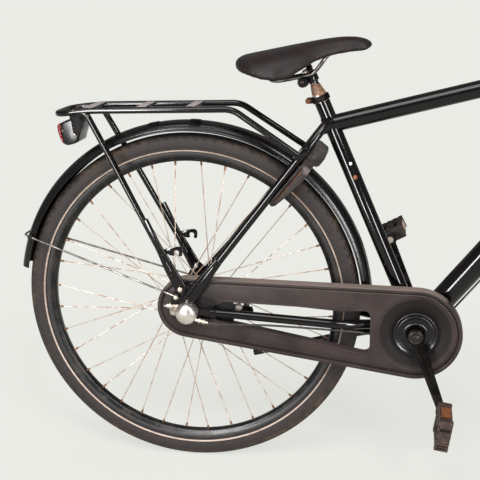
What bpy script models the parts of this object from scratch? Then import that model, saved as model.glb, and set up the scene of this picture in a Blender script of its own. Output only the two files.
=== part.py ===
"""City bicycle for a young rider, with chain case, rear carrier, coaster hub and ring lock.

X points forward, Y to the bicycle's left and Z up. Lengths are in metres.
Inside at(), X is measured from the rear axle and heights from the floor, as drawn for a wheel of
radius AXLE_Z; the whole bicycle rises or sinks with WHEEL_RADIUS.
"""
import math

import bmesh
import bpy
from mathutils import Matrix, Vector

# Fits between separate pieces
GAP = 0.0003
RUNNING_GAP = 0.0006

# Wheels
WHEEL_RADIUS = 0.332
AXLE_Z = 0.332
WHEELBASE = 1.010
WHEEL_STEPS = 36
SPOKE_COUNT = 36
SPOKE_RADIUS = 0.001
TYRE_AND_RIM_DEPTH = 0.0535
RIM_INNER_RADIUS = WHEEL_RADIUS - TYRE_AND_RIM_DEPTH
REAR_FLANGE_RADIUS = 0.034
FRONT_FLANGE_RADIUS = 0.022
REAR_FLANGE_Y = 0.030
FRONT_FLANGE_Y = 0.033
AXLE_RADIUS = 0.005
REAR_DROPOUT_Y = 0.0635
DROPOUT_THICKNESS = 0.005
TENSIONER_THICKNESS = 0.002
FRONT_DROPOUT_Y = 0.050
FORK_END_THICKNESS = 0.004

# Mudguards
REAR_GUARD_ROOM = 0.020
FRONT_GUARD_ROOM = 0.018
REAR_GUARD = (WHEEL_RADIUS + REAR_GUARD_ROOM, 0.003, 0.0045)
FRONT_GUARD = (WHEEL_RADIUS + FRONT_GUARD_ROOM, 0.0, 0.0)
MUDGUARD_HALF_WIDTH = 0.025
REAR_GUARD_ENDS = (5.0, 169.0)
FRONT_GUARD_ENDS = (22.0, 172.0)

# Frame lines, X from the rear axle
CRANK_X = 0.4375
CRANK_Z = 0.292
SHELL_RADIUS = 0.0225
SHELL_HALF_WIDTH = 0.035
SEAT_TUBE_RADIUS = 0.0145
SEAT_TUBE_TOP_Z = 0.7195
SEAT_TUBE_LEAN = 0.4095
SEAT_TUBE_REF = (0.26905, 0.700)
TOP_TUBE_RADIUS = 0.016
DOWN_TUBE_RADIUS = 0.025
CHAIN_STAY_RADIUS = 0.011
SEAT_STAY_RADIUS = 0.008
FORK_OFFSET_X = 0.0536
STEER_FOOT = (WHEELBASE - FORK_OFFSET_X, AXLE_Z)
STEER_DIRECTION = (-0.3584, 0.9336)
HEAD_TUBE_FROM = 0.3755
HEAD_TUBE_TO = 0.5216
HEAD_TUBE_RADIUS = 0.021
STEERER_RADIUS = 0.0127
QUILL_RADIUS = 0.011

# Seat post and saddle
POST_RADIUS = 0.0135
POST_NECK_RADIUS = 0.008
RAIL_Y = 0.022
RAIL_RADIUS = 0.0035

# Drive
CHAIN_Y = -0.050
CHAIN_PITCH = 0.0127
CHAINRING_TEETH = 38
SPROCKET_TEETH = 19
CRANK_LENGTH = 0.155
CRANK_ANGLE = 0.34
SPINDLE_RADIUS = 0.008
CRANK_BOSS_RADIUS = 0.015
PEDAL_NEAR = 0.022
PEDAL_FAR = 0.110
PEDAL_HALF_LENGTH = 0.029
PEDAL_HALF_HEIGHT = 0.0125
CASE_OUTER_Y = -0.062
CASE_INNER_Y = -0.040
CASE_WALL = 0.002
CASE_REAR = (0.003, 0.335, 0.060)
CASE_FRONT = (0.4370, 0.2890, 0.0880)
CASE_SEAM_X = 0.0015

# Handlebar
BAR_RADIUS = 0.011
BAR_BACK = 0.223
GRIP_START_BACK = 0.265
GRIP_END_BACK = 0.410
BAR_CENTRE = (WHEELBASE - BAR_BACK, 0.970)
BELL_Y = 0.027
GRIP_START = (WHEELBASE - GRIP_START_BACK, 0.218, 1.022)
GRIP_END = (WHEELBASE - GRIP_END_BACK, 0.285, 1.016)

# Ring lock: its plane holds Y and the line out from the rear axle at this slope
LOCK_OUT = (0.655, 0.7556)
LOCK_CENTRE = 0.314
LOCK_BOLT_CIRCLE = 0.050
LOCK_BOLT_RADIUS = 0.0042
LOCK_LUG_TOP = 0.0117

GUARD_REACH = REAR_GUARD[0] * math.cos(math.radians(180 - REAR_GUARD_ENDS[1])) - REAR_GUARD[1]
REAR_AXLE_X = -(WHEELBASE + WHEEL_RADIUS - GUARD_REACH) / 2


def at(x, y, z):
    """World place of a point whose X is measured from the rear axle, and Z as drawn."""
    return Vector((REAR_AXLE_X + x, y, z + WHEEL_RADIUS - AXLE_Z))


def seat_tube_x(z):
    return SEAT_TUBE_REF[0] + SEAT_TUBE_LEAN * (SEAT_TUBE_REF[1] - z)


def seat_axis():
    return Vector((-SEAT_TUBE_LEAN, 0, 1)).normalized()


def steer(along, forward=0.0, y=0.0):
    """Point on the steering axis, or ahead of it, at a distance up from the axle's height."""
    x = STEER_FOOT[0] + STEER_DIRECTION[0] * along + STEER_DIRECTION[1] * forward
    z = STEER_FOOT[1] + STEER_DIRECTION[1] * along - STEER_DIRECTION[0] * forward
    return at(x, y, z)


def steer_axis():
    return Vector((STEER_DIRECTION[0], 0, STEER_DIRECTION[1])).normalized()


# Tools that make and join solids


def clear_scene():
    for item in list(bpy.data.objects):
        bpy.data.objects.remove(item, do_unlink=True)


def material(name, colour, roughness, metallic=0.0):
    made = bpy.data.materials.get(name)
    if made:
        return made
    made = bpy.data.materials.new(name)
    made.use_nodes = True
    made.diffuse_color = (*colour, 1.0)
    shader = made.node_tree.nodes["Principled BSDF"]
    shader.inputs["Base Color"].default_value = (*colour, 1.0)
    shader.inputs["Roughness"].default_value = roughness
    shader.inputs["Metallic"].default_value = metallic
    return made


def shade(solid, sharp_degrees=35):
    solid.data.shade_smooth()
    solid.data.set_sharp_from_angle(angle=math.radians(sharp_degrees))
    return solid


def solid_from(name, work, paint):
    bmesh.ops.recalc_face_normals(work, faces=work.faces)
    mesh = bpy.data.meshes.new(name)
    work.to_mesh(mesh)
    work.free()
    solid = bpy.data.objects.new(name, mesh)
    bpy.context.scene.collection.objects.link(solid)
    mesh.materials.append(paint)
    return shade(solid)


def cross_frame(direction):
    """Two unit vectors across a direction, the first as near to straight up as it can be."""
    up = Vector((0, 0, 1)) if abs(direction.z) < 0.999 else Vector((1, 0, 0))
    first = (up - direction * up.dot(direction)).normalized()
    return first, direction.cross(first)


def add_tube(work, path, radii, sides):
    """Adds a closed tube with round ends cut square to a mesh being built."""
    count = len(path)
    ahead = [(path[min(i + 1, count - 1)] - path[max(i - 1, 0)]).normalized() for i in range(count)]
    normal = cross_frame(ahead[0])[0]
    rings = []
    for place, tangent, radius in zip(path, ahead, radii):
        normal = (normal - tangent * normal.dot(tangent)).normalized()
        side = tangent.cross(normal)
        ring = []
        for k in range(sides):
            turn = 2 * math.pi * (k + 0.5) / sides
            ring.append(work.verts.new(place + radius * (math.cos(turn) * normal + math.sin(turn) * side)))
        rings.append(ring)
    for one, two in zip(rings, rings[1:]):
        for k in range(sides):
            work.faces.new((one[k], one[(k + 1) % sides], two[(k + 1) % sides], two[k]))
    work.faces.new(rings[0])
    work.faces.new(rings[-1])


def tube(name, path, radius, paint, sides=12):
    radii = radius if isinstance(radius, (list, tuple)) else [radius] * len(path)
    work = bmesh.new()
    add_tube(work, [Vector(place) for place in path], radii, sides)
    return solid_from(name, work, paint)


def lathe(name, profile, start, direction, paint, steps=24):
    """Turns a closed outline of (radius, distance along) about an axis. Radius 0 lies on the axis."""
    direction = Vector(direction).normalized()
    first, second = cross_frame(direction)
    work = bmesh.new()
    rings = []
    for radius, along in profile:
        middle = Vector(start) + direction * along
        if radius == 0:
            rings.append([work.verts.new(middle)] * steps)
            continue
        ring = []
        for k in range(steps):
            turn = 2 * math.pi * k / steps
            ring.append(work.verts.new(middle + radius * (math.cos(turn) * first + math.sin(turn) * second)))
        rings.append(ring)
    for i, one in enumerate(rings):
        two = rings[(i + 1) % len(rings)]
        if one[0] is one[1] and two[0] is two[1]:
            continue
        for k in range(steps):
            n = (k + 1) % steps
            corners = []
            for corner in (one[k], one[n], two[n], two[k]):
                if corner not in corners:
                    corners.append(corner)
            work.faces.new(corners)
    return solid_from(name, work, paint)


def loft(name, loops, paint):
    """Closed skin through loops of equal point counts, with the first and last loops capped."""
    work = bmesh.new()
    rings = [[work.verts.new(place) for place in loop] for loop in loops]
    count = len(rings[0])
    for one, two in zip(rings, rings[1:]):
        for k in range(count):
            work.faces.new((one[k], one[(k + 1) % count], two[(k + 1) % count], two[k]))
    work.faces.new(rings[0])
    work.faces.new(rings[-1])
    return solid_from(name, work, paint)


def plate(name, outline, y_from, y_to, paint, turn=None):
    """Prism of an (x, z) outline between two Y values; turn, if given, moves it in the world."""
    loops = [[at(x, y, z) for x, z in outline] for y in (y_from, y_to)]
    if turn:
        loops = [[turn @ place for place in loop] for loop in loops]
    return loft(name, loops, paint)


def box(name, low, high, paint, turn=None):
    outline = [(low[0], low[2]), (high[0], low[2]), (high[0], high[2]), (low[0], high[2])]
    return plate(name, outline, low[1], high[1], paint, turn)


def rod(name, start, end, radius, paint, sides=12):
    return tube(name, [start, end], radius, paint, sides)


def combine(base, others, operation):
    for other in others:
        step = base.modifiers.new("Combine", "BOOLEAN")
        step.operation = operation
        step.solver = "EXACT"
        step.object = other
        bpy.context.view_layer.objects.active = base
        bpy.ops.object.modifier_apply(modifier=step.name)
        bpy.data.objects.remove(other, do_unlink=True)
    return shade(base)


def fuse(base, *others):
    return combine(base, others, "UNION")


def cut(base, *others):
    return combine(base, others, "DIFFERENCE")


def origin_at(solid, place):
    """Moves an object's origin, leaving its shape where it is."""
    solid.data.transform(Matrix.Translation(-Vector(place)))
    solid.location = place
    return solid


def rounded(points, bends, steps=4):
    """Path with each inner corner replaced by a bend; bends is one reach, or one for each corner."""
    points = [Vector(p) for p in points]
    bends = bends if isinstance(bends, (list, tuple)) else [bends] * (len(points) - 2)
    path = [points[0]]
    for before, corner, after, bend in zip(points, points[1:], points[2:], bends):
        come = (before - corner).normalized()
        leave = (after - corner).normalized()
        reach = min(bend, 0.45 * (before - corner).length, 0.45 * (after - corner).length)
        for k in range(steps + 1):
            t = k / steps
            one = corner + come * reach * (1 - t)
            two = corner + leave * reach * t
            path.append(one.lerp(two, t))
    path.append(points[-1])
    return path


def circle_outline(x, z, radius, count):
    return [
        (x + radius * math.cos(2 * math.pi * k / count), z + radius * math.sin(2 * math.pi * k / count))
        for k in range(count)
    ]


def belt_outline(rear, front, change=0.0, steps=12):
    """Outline of a belt laid round two circles of (x, z, radius), each radius changed alike."""
    along = math.atan2(front[1] - rear[1], front[0] - rear[0])
    apart = math.hypot(front[1] - rear[1], front[0] - rear[0])
    opening = math.acos((rear[2] - front[2]) / apart)
    points = []
    for circle, start, sweep in (
        (front, along - opening, 2 * opening),
        (rear, along + opening, 2 * math.pi - 2 * opening),
    ):
        for k in range(steps + 1):
            turn = start + sweep * k / steps
            radius = circle[2] + change
            points.append((circle[0] + radius * math.cos(turn), circle[1] + radius * math.sin(turn)))
    return points


# Materials


def frame_paint():
    return material("gloss_black_paint", (0.012, 0.012, 0.014), 0.18)


def case_plastic():
    return material("case_plastic", (0.055, 0.048, 0.047), 0.45)


def tyre_rubber():
    return material("tyre_rubber", (0.052, 0.043, 0.039), 0.8)


def rim_paint():
    return material("rim_paint", (0.015, 0.015, 0.016), 0.25)


def hub_steel():
    return material("hub_steel", (0.55, 0.5, 0.46), 0.35, 1.0)


def chrome():
    return material("polished_cover", (0.75, 0.72, 0.7), 0.12, 1.0)


def rusty_steel():
    return material("rusty_steel", (0.25, 0.13, 0.08), 0.65, 0.6)


def saddle_vinyl():
    return material("saddle_vinyl", (0.028, 0.026, 0.027), 0.5)


def pedal_plastic():
    return material("pedal_plastic", (0.09, 0.07, 0.065), 0.6)


def amber():
    return material("amber_reflector", (0.6, 0.16, 0.03), 0.3)


def red_lens():
    return material("red_lens", (0.45, 0.02, 0.02), 0.2)


def lock_plastic():
    return material("lock_plastic", (0.075, 0.062, 0.058), 0.5)


def grip_rubber():
    return material("grip_rubber", (0.02, 0.02, 0.02), 0.75)


def cable_housing():
    return material("cable_housing", (0.6, 0.58, 0.56), 0.4, 0.5)


# Frame


def stay_line(share, y):
    """Point on the line of the seat stays, from the seat cluster (0) to the rear end (1)."""
    return at(0.270 * (1 - share), y, 0.680 - 0.333 * share)


def seat_stay(side):
    path = [
        at(0.277, side * 0.010, 0.686),
        stay_line(0.0, side * 0.021),
        stay_line(0.05, side * 0.034),
        stay_line(0.12, side * 0.0425),
        stay_line(0.85, side * 0.0695),
        stay_line(0.965, side * 0.0705),
    ]
    radii = [SEAT_STAY_RADIUS] * 4 + [0.0065, 0.0060]
    return tube("seat_stay", path, radii, frame_paint(), 10)


def chain_stay(side):
    path = [at(0.056, side * 0.0608, 0.3277), at(0.110, side * 0.0545, 0.3226),
            at(0.430, side * 0.0195, 0.2925)]
    radii = [0.0085, CHAIN_STAY_RADIUS, CHAIN_STAY_RADIUS]
    return tube("chain_stay", path, radii, frame_paint(), 12)


def rear_dropout(side):
    slot = AXLE_RADIUS + GAP
    outline = [
        (-0.026, AXLE_Z + slot), (-0.027, 0.358), (-0.020, 0.371), (-0.012, 0.386), (0.002, 0.388),
        (0.024, 0.374), (0.034, 0.346), (0.078, 0.336), (0.078, 0.318), (0.030, 0.311),
        (-0.020, 0.314), (-0.026, AXLE_Z - slot), (slot, AXLE_Z - slot), (slot, AXLE_Z + slot),
    ]
    inner = side * REAR_DROPOUT_Y
    outer = side * (REAR_DROPOUT_Y + DROPOUT_THICKNESS)
    return plate("rear_dropout", outline, inner, outer, frame_paint())


def frame():
    paint = frame_paint()
    seat_low = at(seat_tube_x(CRANK_Z), 0, CRANK_Z)
    seat_top = at(seat_tube_x(SEAT_TUBE_TOP_Z), 0, SEAT_TUBE_TOP_Z)
    body = rod("frame", seat_low, seat_top, SEAT_TUBE_RADIUS, paint, 16)
    shell_ends = [at(CRANK_X, y, CRANK_Z) for y in (-SHELL_HALF_WIDTH, SHELL_HALF_WIDTH)]
    shell = rod("shell", *shell_ends, SHELL_RADIUS, paint, 20)
    top_path = [at(0.2722, 0, 0.6767), at(WHEELBASE - 0.230, 0, 0.791)]
    top_tube = rod("top_tube", *top_path, TOP_TUBE_RADIUS, paint, 14)
    down_path = [at(0.447, 0, 0.2933), at(0.474, 0, 0.3254), at(WHEELBASE - 0.270, 0, 0.6423),
                 at(WHEELBASE - 0.2032, 0, 0.7218)]
    down_tube = tube("down_tube", down_path, [0.012, DOWN_TUBE_RADIUS, DOWN_TUBE_RADIUS, 0.020], paint, 16)
    head = rod("head_tube", steer(HEAD_TUBE_FROM), steer(HEAD_TUBE_TO), HEAD_TUBE_RADIUS, paint, 18)
    fuse(body, shell, top_tube, down_tube, head)
    for side in (-1, 1):
        fuse(body, chain_stay(side), seat_stay(side), rear_dropout(side))
    bridge = rod("bridge", stay_line(0.15, -0.0425), stay_line(0.15, 0.0425), 0.005, paint, 8)
    stand_plate = box("stand_plate", (0.378, -0.026, 0.290), (0.404, 0.026, 0.298), paint)
    fuse(body, bridge, stand_plate)
    post_hole = rod("post_hole", at(seat_tube_x(0.560), 0, 0.560), seat_top + seat_axis() * 0.02,
                    POST_RADIUS + GAP, paint, 16)
    cup_hole = rod("cup_hole", at(CRANK_X, -0.05, CRANK_Z), at(CRANK_X, 0.05, CRANK_Z), 0.0175, paint, 20)
    steerer_hole = rod("steerer_hole", steer(0.34), steer(0.56), 0.0165, paint, 18)
    return cut(body, post_hole, cup_hole, steerer_hole)


# Wheels


def spoke_set(x, flange_radius, flange_y, phase):
    work = bmesh.new()
    hub_start = flange_radius + 2 * GAP
    for j in range(SPOKE_COUNT):
        side = 1 if j % 2 else -1
        lead = 1 if (j // 2) % 2 else -1
        rim_turn = math.radians(phase + j * 360 / SPOKE_COUNT)
        hub_turn = rim_turn - lead * math.radians(60)
        inner = at(x + hub_start * math.cos(hub_turn), side * (flange_y + lead * 0.0028),
                   AXLE_Z + hub_start * math.sin(hub_turn))
        reach = RIM_INNER_RADIUS + 0.003
        outer = at(x + reach * math.cos(rim_turn), side * 0.0022, AXLE_Z + reach * math.sin(rim_turn))
        add_tube(work, [inner, outer], [SPOKE_RADIUS] * 2, 3)
    return solid_from("spokes", work, hub_steel())


def rim_and_spokes(name, x, flange_radius, flange_y, phase):
    base = RIM_INNER_RADIUS
    half = [(base, 0.0045), (base + 0.0055, 0.0095), (base + 0.0210, 0.0126), (base + 0.0135, 0.0075)]
    profile = half + [(radius, -y) for radius, y in reversed(half)]
    rim = lathe(name, profile, at(x, 0, AXLE_Z), (0, 1, 0), rim_paint(), WHEEL_STEPS)
    fuse(rim, spoke_set(x, flange_radius, flange_y, phase))
    return origin_at(rim, at(x, 0, AXLE_Z))


def tyre(name, x):
    depths = [(0.0035, 0.010), (0.016, 0.0182), (0.0285, 0.0170), (0.0318, 0.0125), (0.0360, 0.0093),
              (0.027, 0.0136), (0.0065, 0.0105)]
    half = [(WHEEL_RADIUS - depth, y) for depth, y in depths]
    profile = [(WHEEL_RADIUS, 0.0)] + half + [(radius, -y) for radius, y in reversed(half)]
    solid = lathe(name, profile, at(x, 0, AXLE_Z), (0, 1, 0), tyre_rubber(), WHEEL_STEPS)
    return origin_at(solid, at(x, 0, AXLE_Z))


def rear_hub_shell():
    flange = REAR_FLANGE_RADIUS
    profile = [
        (0.0226, -0.0365), (0.028, -0.0365), (0.030, -0.0325), (flange, -0.0320), (flange, -0.0285),
        (0.027, -0.0270), (0.027, 0.0270), (flange, 0.0285), (flange, 0.0320), (0.030, 0.0325),
        (0.028, 0.0375), (0.0226, 0.0375),
    ]
    solid = lathe("rear_hub_shell", profile, at(0, 0, AXLE_Z), (0, 1, 0), hub_steel(), 20)
    return origin_at(solid, at(0, 0, AXLE_Z))


def nut_profile(inner_y):
    """Flanged nut as seen in a lathe outline, from the plate it bears on outwards."""
    return [(AXLE_RADIUS, inner_y), (0.0105, inner_y), (0.0105, inner_y + 0.002), (0.0085, inner_y + 0.002),
            (0.0085, inner_y + 0.010), (AXLE_RADIUS, inner_y + 0.010)]


def rear_axle():
    """Axle with its nuts, the gear and brake works inside the shell, and the fixed cone on the brake side."""
    nut_y = REAR_DROPOUT_Y + DROPOUT_THICKNESS + TENSIONER_THICKNESS + 2 * GAP
    right = [(radius, -y) for radius, y in reversed(nut_profile(nut_y))]
    works = [(AXLE_RADIUS, -0.0355), (0.0221, -0.0355), (0.0221, 0.0382), (0.0275, 0.0382), (0.0275, 0.0415),
             (0.018, 0.0460), (0.011, 0.0500), (0.011, 0.0560), (AXLE_RADIUS, 0.0560)]
    profile = [(0, -0.083), (AXLE_RADIUS, -0.083)] + right + works + nut_profile(nut_y)
    profile += [(AXLE_RADIUS, 0.083), (0, 0.083)]
    return lathe("rear_axle_and_works", profile, at(0, 0, AXLE_Z), (0, 1, 0), hub_steel(), 12)


def front_axle():
    """Axle with its nuts and the two bearing cones."""
    nut_y = FRONT_DROPOUT_Y + FORK_END_THICKNESS + GAP
    right = [(radius, -y) for radius, y in reversed(nut_profile(nut_y))]
    cones = [(AXLE_RADIUS, -0.0495), (0.009, -0.0495), (0.009, -0.0436), (AXLE_RADIUS, -0.0436),
             (AXLE_RADIUS, 0.0436), (0.009, 0.0436), (0.009, 0.0495), (AXLE_RADIUS, 0.0495)]
    profile = [(0, -0.068), (AXLE_RADIUS, -0.068)] + right + cones + nut_profile(nut_y)
    profile += [(AXLE_RADIUS, 0.068), (0, 0.068)]
    return lathe("front_axle", profile, at(WHEELBASE, 0, AXLE_Z), (0, 1, 0), hub_steel(), 12)


def brake_arm():
    paint = frame_paint()
    outline = [
        (-0.012, 0.330), (-0.010, 0.342), (0.002, 0.346), (0.013, 0.338), (0.030, 0.311),
        (0.110, 0.301), (0.112, 0.292), (0.105, 0.288), (0.026, 0.297), (-0.002, 0.318),
    ]
    arm = plate("brake_reaction_arm", outline, 0.0512, 0.0552, paint)
    hole = rod("hole", at(0, 0.03, AXLE_Z), at(0, 0.09, AXLE_Z), 0.0113, paint, 20)
    return cut(arm, hole)


def brake_arm_clip():
    """Strap round the left chain stay that the reaction arm is bolted to."""
    paint = hub_steel()
    middle = at(0.095, 0.0561, 0.3240)
    along = (at(0.430, 0.0195, 0.2925) - at(0.110, 0.0545, 0.3226)).normalized()
    start = middle - along * 0.008
    outer = CHAIN_STAY_RADIUS + 0.0018
    profile = [(CHAIN_STAY_RADIUS + GAP, 0), (outer, 0), (outer, 0.016), (CHAIN_STAY_RADIUS + GAP, 0.016)]
    strap = lathe("brake_arm_clip", profile, start, along, paint, 16)
    ear = box("ear", (0.0915, 0.0556, 0.2915), (0.1035, 0.0585, 0.3115), paint)
    bolt = rod("bolt", at(0.0975, 0.0570, 0.2965), at(0.0975, 0.0620, 0.2965), 0.0045, paint, 8)
    return fuse(strap, ear, bolt)


def chain_tensioner(name, side):
    """Hooked plate on the axle with a screw that bears on the end of the dropout."""
    paint = hub_steel()
    inner = side * (REAR_DROPOUT_Y + DROPOUT_THICKNESS + GAP)
    outer = inner + side * TENSIONER_THICKNESS
    outline = [(-0.0295, 0.324), (0.0, 0.319), (0.012, 0.324), (0.013, 0.338), (0.0, 0.345),
               (-0.0295, 0.344)]
    strip = plate(name, outline, inner, outer, paint)
    hole = rod("hole", at(0, inner - side * 0.01, AXLE_Z), at(0, outer + side * 0.01, AXLE_Z),
               AXLE_RADIUS + GAP, paint, 12)
    cut(strip, hole)
    tab_ends = sorted((side * REAR_DROPOUT_Y, outer))
    tab = box("tab", (-0.0310, tab_ends[0], 0.329), (-0.0285, tab_ends[1], 0.3465), paint)
    screw_y = side * 0.0678
    screw_z = 0.341
    screw_end = at(-0.0300, screw_y, screw_z)
    screw = rod("screw", at(-0.042, screw_y, screw_z), screw_end, 0.0025, paint, 8)
    nut = rod("nut", at(-0.036, screw_y, screw_z), screw_end, 0.0048, paint, 6)
    return fuse(strip, tab, screw, nut)


def gear_cover():
    """Domed cover over the right axle end, open towards the frame."""
    middle = at(0.004, 0, 0.330)
    rim_y = -(REAR_DROPOUT_Y + DROPOUT_THICKNESS + TENSIONER_THICKNESS + 2 * GAP)
    profile = [(0.0200, rim_y), (0.0215, rim_y), (0.0222, -0.0800), (0.0185, -0.0880), (0.0100, -0.0925),
               (0, -0.0935), (0, -0.0915), (0.0090, -0.0905), (0.0170, -0.0865), (0.0204, -0.0795)]
    return lathe("gear_cover", profile, middle, (0, 1, 0), chrome(), 18)


def front_hub_shell():
    flange = FRONT_FLANGE_RADIUS
    profile = [
        (0.0056, -0.043), (0.013, -0.043), (0.014, -0.036), (flange, -0.0345), (flange, -0.0315),
        (0.011, -0.026), (0.011, 0.026), (flange, 0.0315), (flange, 0.0345), (0.014, 0.036),
        (0.013, 0.043), (0.0056, 0.043),
    ]
    solid = lathe("front_hub_shell", profile, at(WHEELBASE, 0, AXLE_Z), (0, 1, 0), hub_steel(), 16)
    return origin_at(solid, at(WHEELBASE, 0, AXLE_Z))


# Drive


def crank_end(side):
    """Centre of the pedal hole: side -1 is the right crank, which hangs down at rest."""
    reach = -side * CRANK_LENGTH
    return (CRANK_X + reach * math.sin(CRANK_ANGLE), CRANK_Z - reach * math.cos(CRANK_ANGLE))


def toothed_outline(x, z, teeth, phase):
    pitch_radius = CHAIN_PITCH / (2 * math.sin(math.pi / teeth))
    points = []
    for k in range(teeth):
        middle = 2 * math.pi * k / teeth + phase
        step = 2 * math.pi / teeth
        for share, lift in ((-0.30, -0.0036), (0.0, 0.0034), (0.30, -0.0036)):
            turn = middle + share * step
            radius = pitch_radius + lift
            points.append((x + radius * math.cos(turn), z + radius * math.sin(turn)))
    return points


def chainring():
    paint = rusty_steel()
    outline = toothed_outline(CRANK_X, CRANK_Z, CHAINRING_TEETH, 0.0)
    disc = plate("chainring", outline, CHAIN_Y - 0.0011, CHAIN_Y + 0.0011, paint)
    centre_hole = plate("hole", circle_outline(CRANK_X, CRANK_Z, CRANK_BOSS_RADIUS + GAP, 16),
                        CHAIN_Y - 0.01, CHAIN_Y + 0.01, paint)
    cut(disc, centre_hole)
    for k in range(5):
        turns = [math.radians(72 * k + a) for a in (-24, 0, 24)]
        outline = [(CRANK_X + 0.060 * math.cos(t), CRANK_Z + 0.060 * math.sin(t)) for t in turns]
        outline += [(CRANK_X + 0.028 * math.cos(t), CRANK_Z + 0.028 * math.sin(t)) for t in reversed(turns)]
        cut(disc, plate("hole", outline, CHAIN_Y - 0.01, CHAIN_Y + 0.01, paint))
    return origin_at(disc, at(CRANK_X, CHAIN_Y, CRANK_Z))


def rear_sprocket():
    paint = rusty_steel()
    outline = toothed_outline(0, AXLE_Z, SPROCKET_TEETH, 0.0)
    disc = plate("rear_sprocket", outline, CHAIN_Y - 0.0011, CHAIN_Y + 0.0011, paint)
    driver = plate("driver", circle_outline(0, AXLE_Z, 0.0150, 16), CHAIN_Y - 0.0035, -0.0368, paint)
    fuse(disc, driver)
    bore = circle_outline(0, AXLE_Z, AXLE_RADIUS + RUNNING_GAP, 12)
    hole = plate("hole", bore, -0.070, -0.030, paint)
    cut(disc, hole)
    return origin_at(disc, at(0, CHAIN_Y, AXLE_Z))


def chain():
    """Both rows of side plates as bands, joined by the rollers of the two straight runs."""
    paint = rusty_steel()
    rear = (0, AXLE_Z, CHAIN_PITCH / (2 * math.sin(math.pi / SPROCKET_TEETH)))
    front = (CRANK_X, CRANK_Z, CHAIN_PITCH / (2 * math.sin(math.pi / CHAINRING_TEETH)))
    half_height = 0.0040
    inner_y = 0.0020
    outer_y = 0.0034
    outer = belt_outline(rear, front, half_height, 9)
    inner = belt_outline(rear, front, -half_height, 9)
    work = bmesh.new()
    for side in (-1, 1):
        loops = []
        for outline, y in ((outer, inner_y), (outer, outer_y), (inner, outer_y), (inner, inner_y)):
            loops.append([work.verts.new(at(x, CHAIN_Y + side * y, z)) for x, z in outline])
        count = len(outer)
        for i in range(4):
            one = loops[i]
            two = loops[(i + 1) % 4]
            for k in range(count):
                n = (k + 1) % count
                work.faces.new((one[k], one[n], two[n], two[k]))
    bands = solid_from("chain", work, paint)
    along = math.atan2(front[1] - rear[1], front[0] - rear[0])
    apart = math.hypot(front[1] - rear[1], front[0] - rear[0])
    opening = math.acos((rear[2] - front[2]) / apart)
    pins = bmesh.new()
    for turn in (along + opening, along - opening):
        start = Vector((rear[0] + rear[2] * math.cos(turn), rear[1] + rear[2] * math.sin(turn)))
        end = Vector((front[0] + front[2] * math.cos(turn), front[1] + front[2] * math.sin(turn)))
        run = (end - start).length
        count = int(run / CHAIN_PITCH) - 4
        for k in range(count):
            place = start.lerp(end, (2 + k) * CHAIN_PITCH / run)
            path = [at(place.x, CHAIN_Y + y, place.y) for y in (-0.0027, 0.0027)]
            add_tube(pins, path, [0.0036] * 2, 3)
    return fuse(bands, solid_from("pins", pins, paint))


def window_outline(grow=0.0):
    """Long opening of the chain case that the chain stay passes through."""
    points = [
        (0.050, 0.322), (0.060, 0.3115), (0.105, 0.303), (0.277, 0.270), (0.336, 0.2615), (0.347, 0.264),
        (0.351, 0.272), (0.351, 0.326), (0.347, 0.335), (0.338, 0.3375), (0.278, 0.3335), (0.106, 0.346),
        (0.062, 0.349), (0.050, 0.340),
    ]
    if not grow:
        return points
    grown = []
    for before, here, after in zip(points[-1:] + points[:-1], points, points[1:] + points[:1]):
        along = Vector((after[0] - before[0], after[1] - before[1])).normalized()
        grown.append((here[0] + grow * along.y, here[1] - grow * along.x))
    return grown


def case_body(name, x_from, x_to):
    """Hollow chain case between two X values, open round the hub, the crank and the window."""
    paint = case_plastic()
    loops = []
    for y, change in ((CASE_INNER_Y, -0.002), (CASE_INNER_Y - 0.003, 0.0), (CASE_OUTER_Y + 0.007, 0.0),
                      (CASE_OUTER_Y + 0.002, -0.003), (CASE_OUTER_Y, -0.008)):
        loops.append([at(x, y, z) for x, z in belt_outline(CASE_REAR, CASE_FRONT, change, 12)])
    body = loft(name, loops, paint)
    hollow = plate("hollow", belt_outline(CASE_REAR, CASE_FRONT, -CASE_WALL - 0.001, 12),
                   CASE_OUTER_Y + 0.008, CASE_INNER_Y - CASE_WALL, paint)
    deeper = plate("deeper", belt_outline(CASE_REAR, CASE_FRONT, -0.009, 12),
                   CASE_OUTER_Y + CASE_WALL, CASE_OUTER_Y + 0.010, paint)
    fuse(hollow, deeper)
    wall = plate("wall", window_outline(CASE_WALL), CASE_OUTER_Y - 0.01, CASE_INNER_Y + 0.01, paint)
    cut(hollow, wall)
    window = plate("window", window_outline(), CASE_OUTER_Y - 0.01, CASE_INNER_Y + 0.01, paint)
    crank_out = plate("opening", circle_outline(CRANK_X, CRANK_Z, 0.040, 20), CASE_OUTER_Y - 0.01,
                      CASE_OUTER_Y + 0.006, paint)
    crank_in = plate("opening", circle_outline(CRANK_X, CRANK_Z, 0.030, 20), CASE_INNER_Y - 0.006,
                     CASE_INNER_Y + 0.01, paint)
    hub_out = plate("opening", circle_outline(0, AXLE_Z, 0.012, 16), CASE_OUTER_Y - 0.01,
                    CASE_OUTER_Y + 0.006, paint)
    hub_in = plate("opening", circle_outline(0, AXLE_Z, 0.022, 16), CASE_INNER_Y - 0.006,
                   CASE_INNER_Y + 0.01, paint)
    cut(body, hollow, window, crank_out, crank_in, hub_out, hub_in)
    for low, high in ((-1.0, x_from), (x_to, 1.0)):
        if -0.9 < low or high > -0.9:
            cut(body, box("beyond", (low, -0.2, 0.0), (high, 0.1, 1.0), paint))
    return body


def chain_case():
    return case_body("chain_case", CASE_SEAM_X, 0.9)


def chain_case_cap():
    return case_body("chain_case_rear_cap", -0.9, CASE_SEAM_X - GAP)


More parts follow.
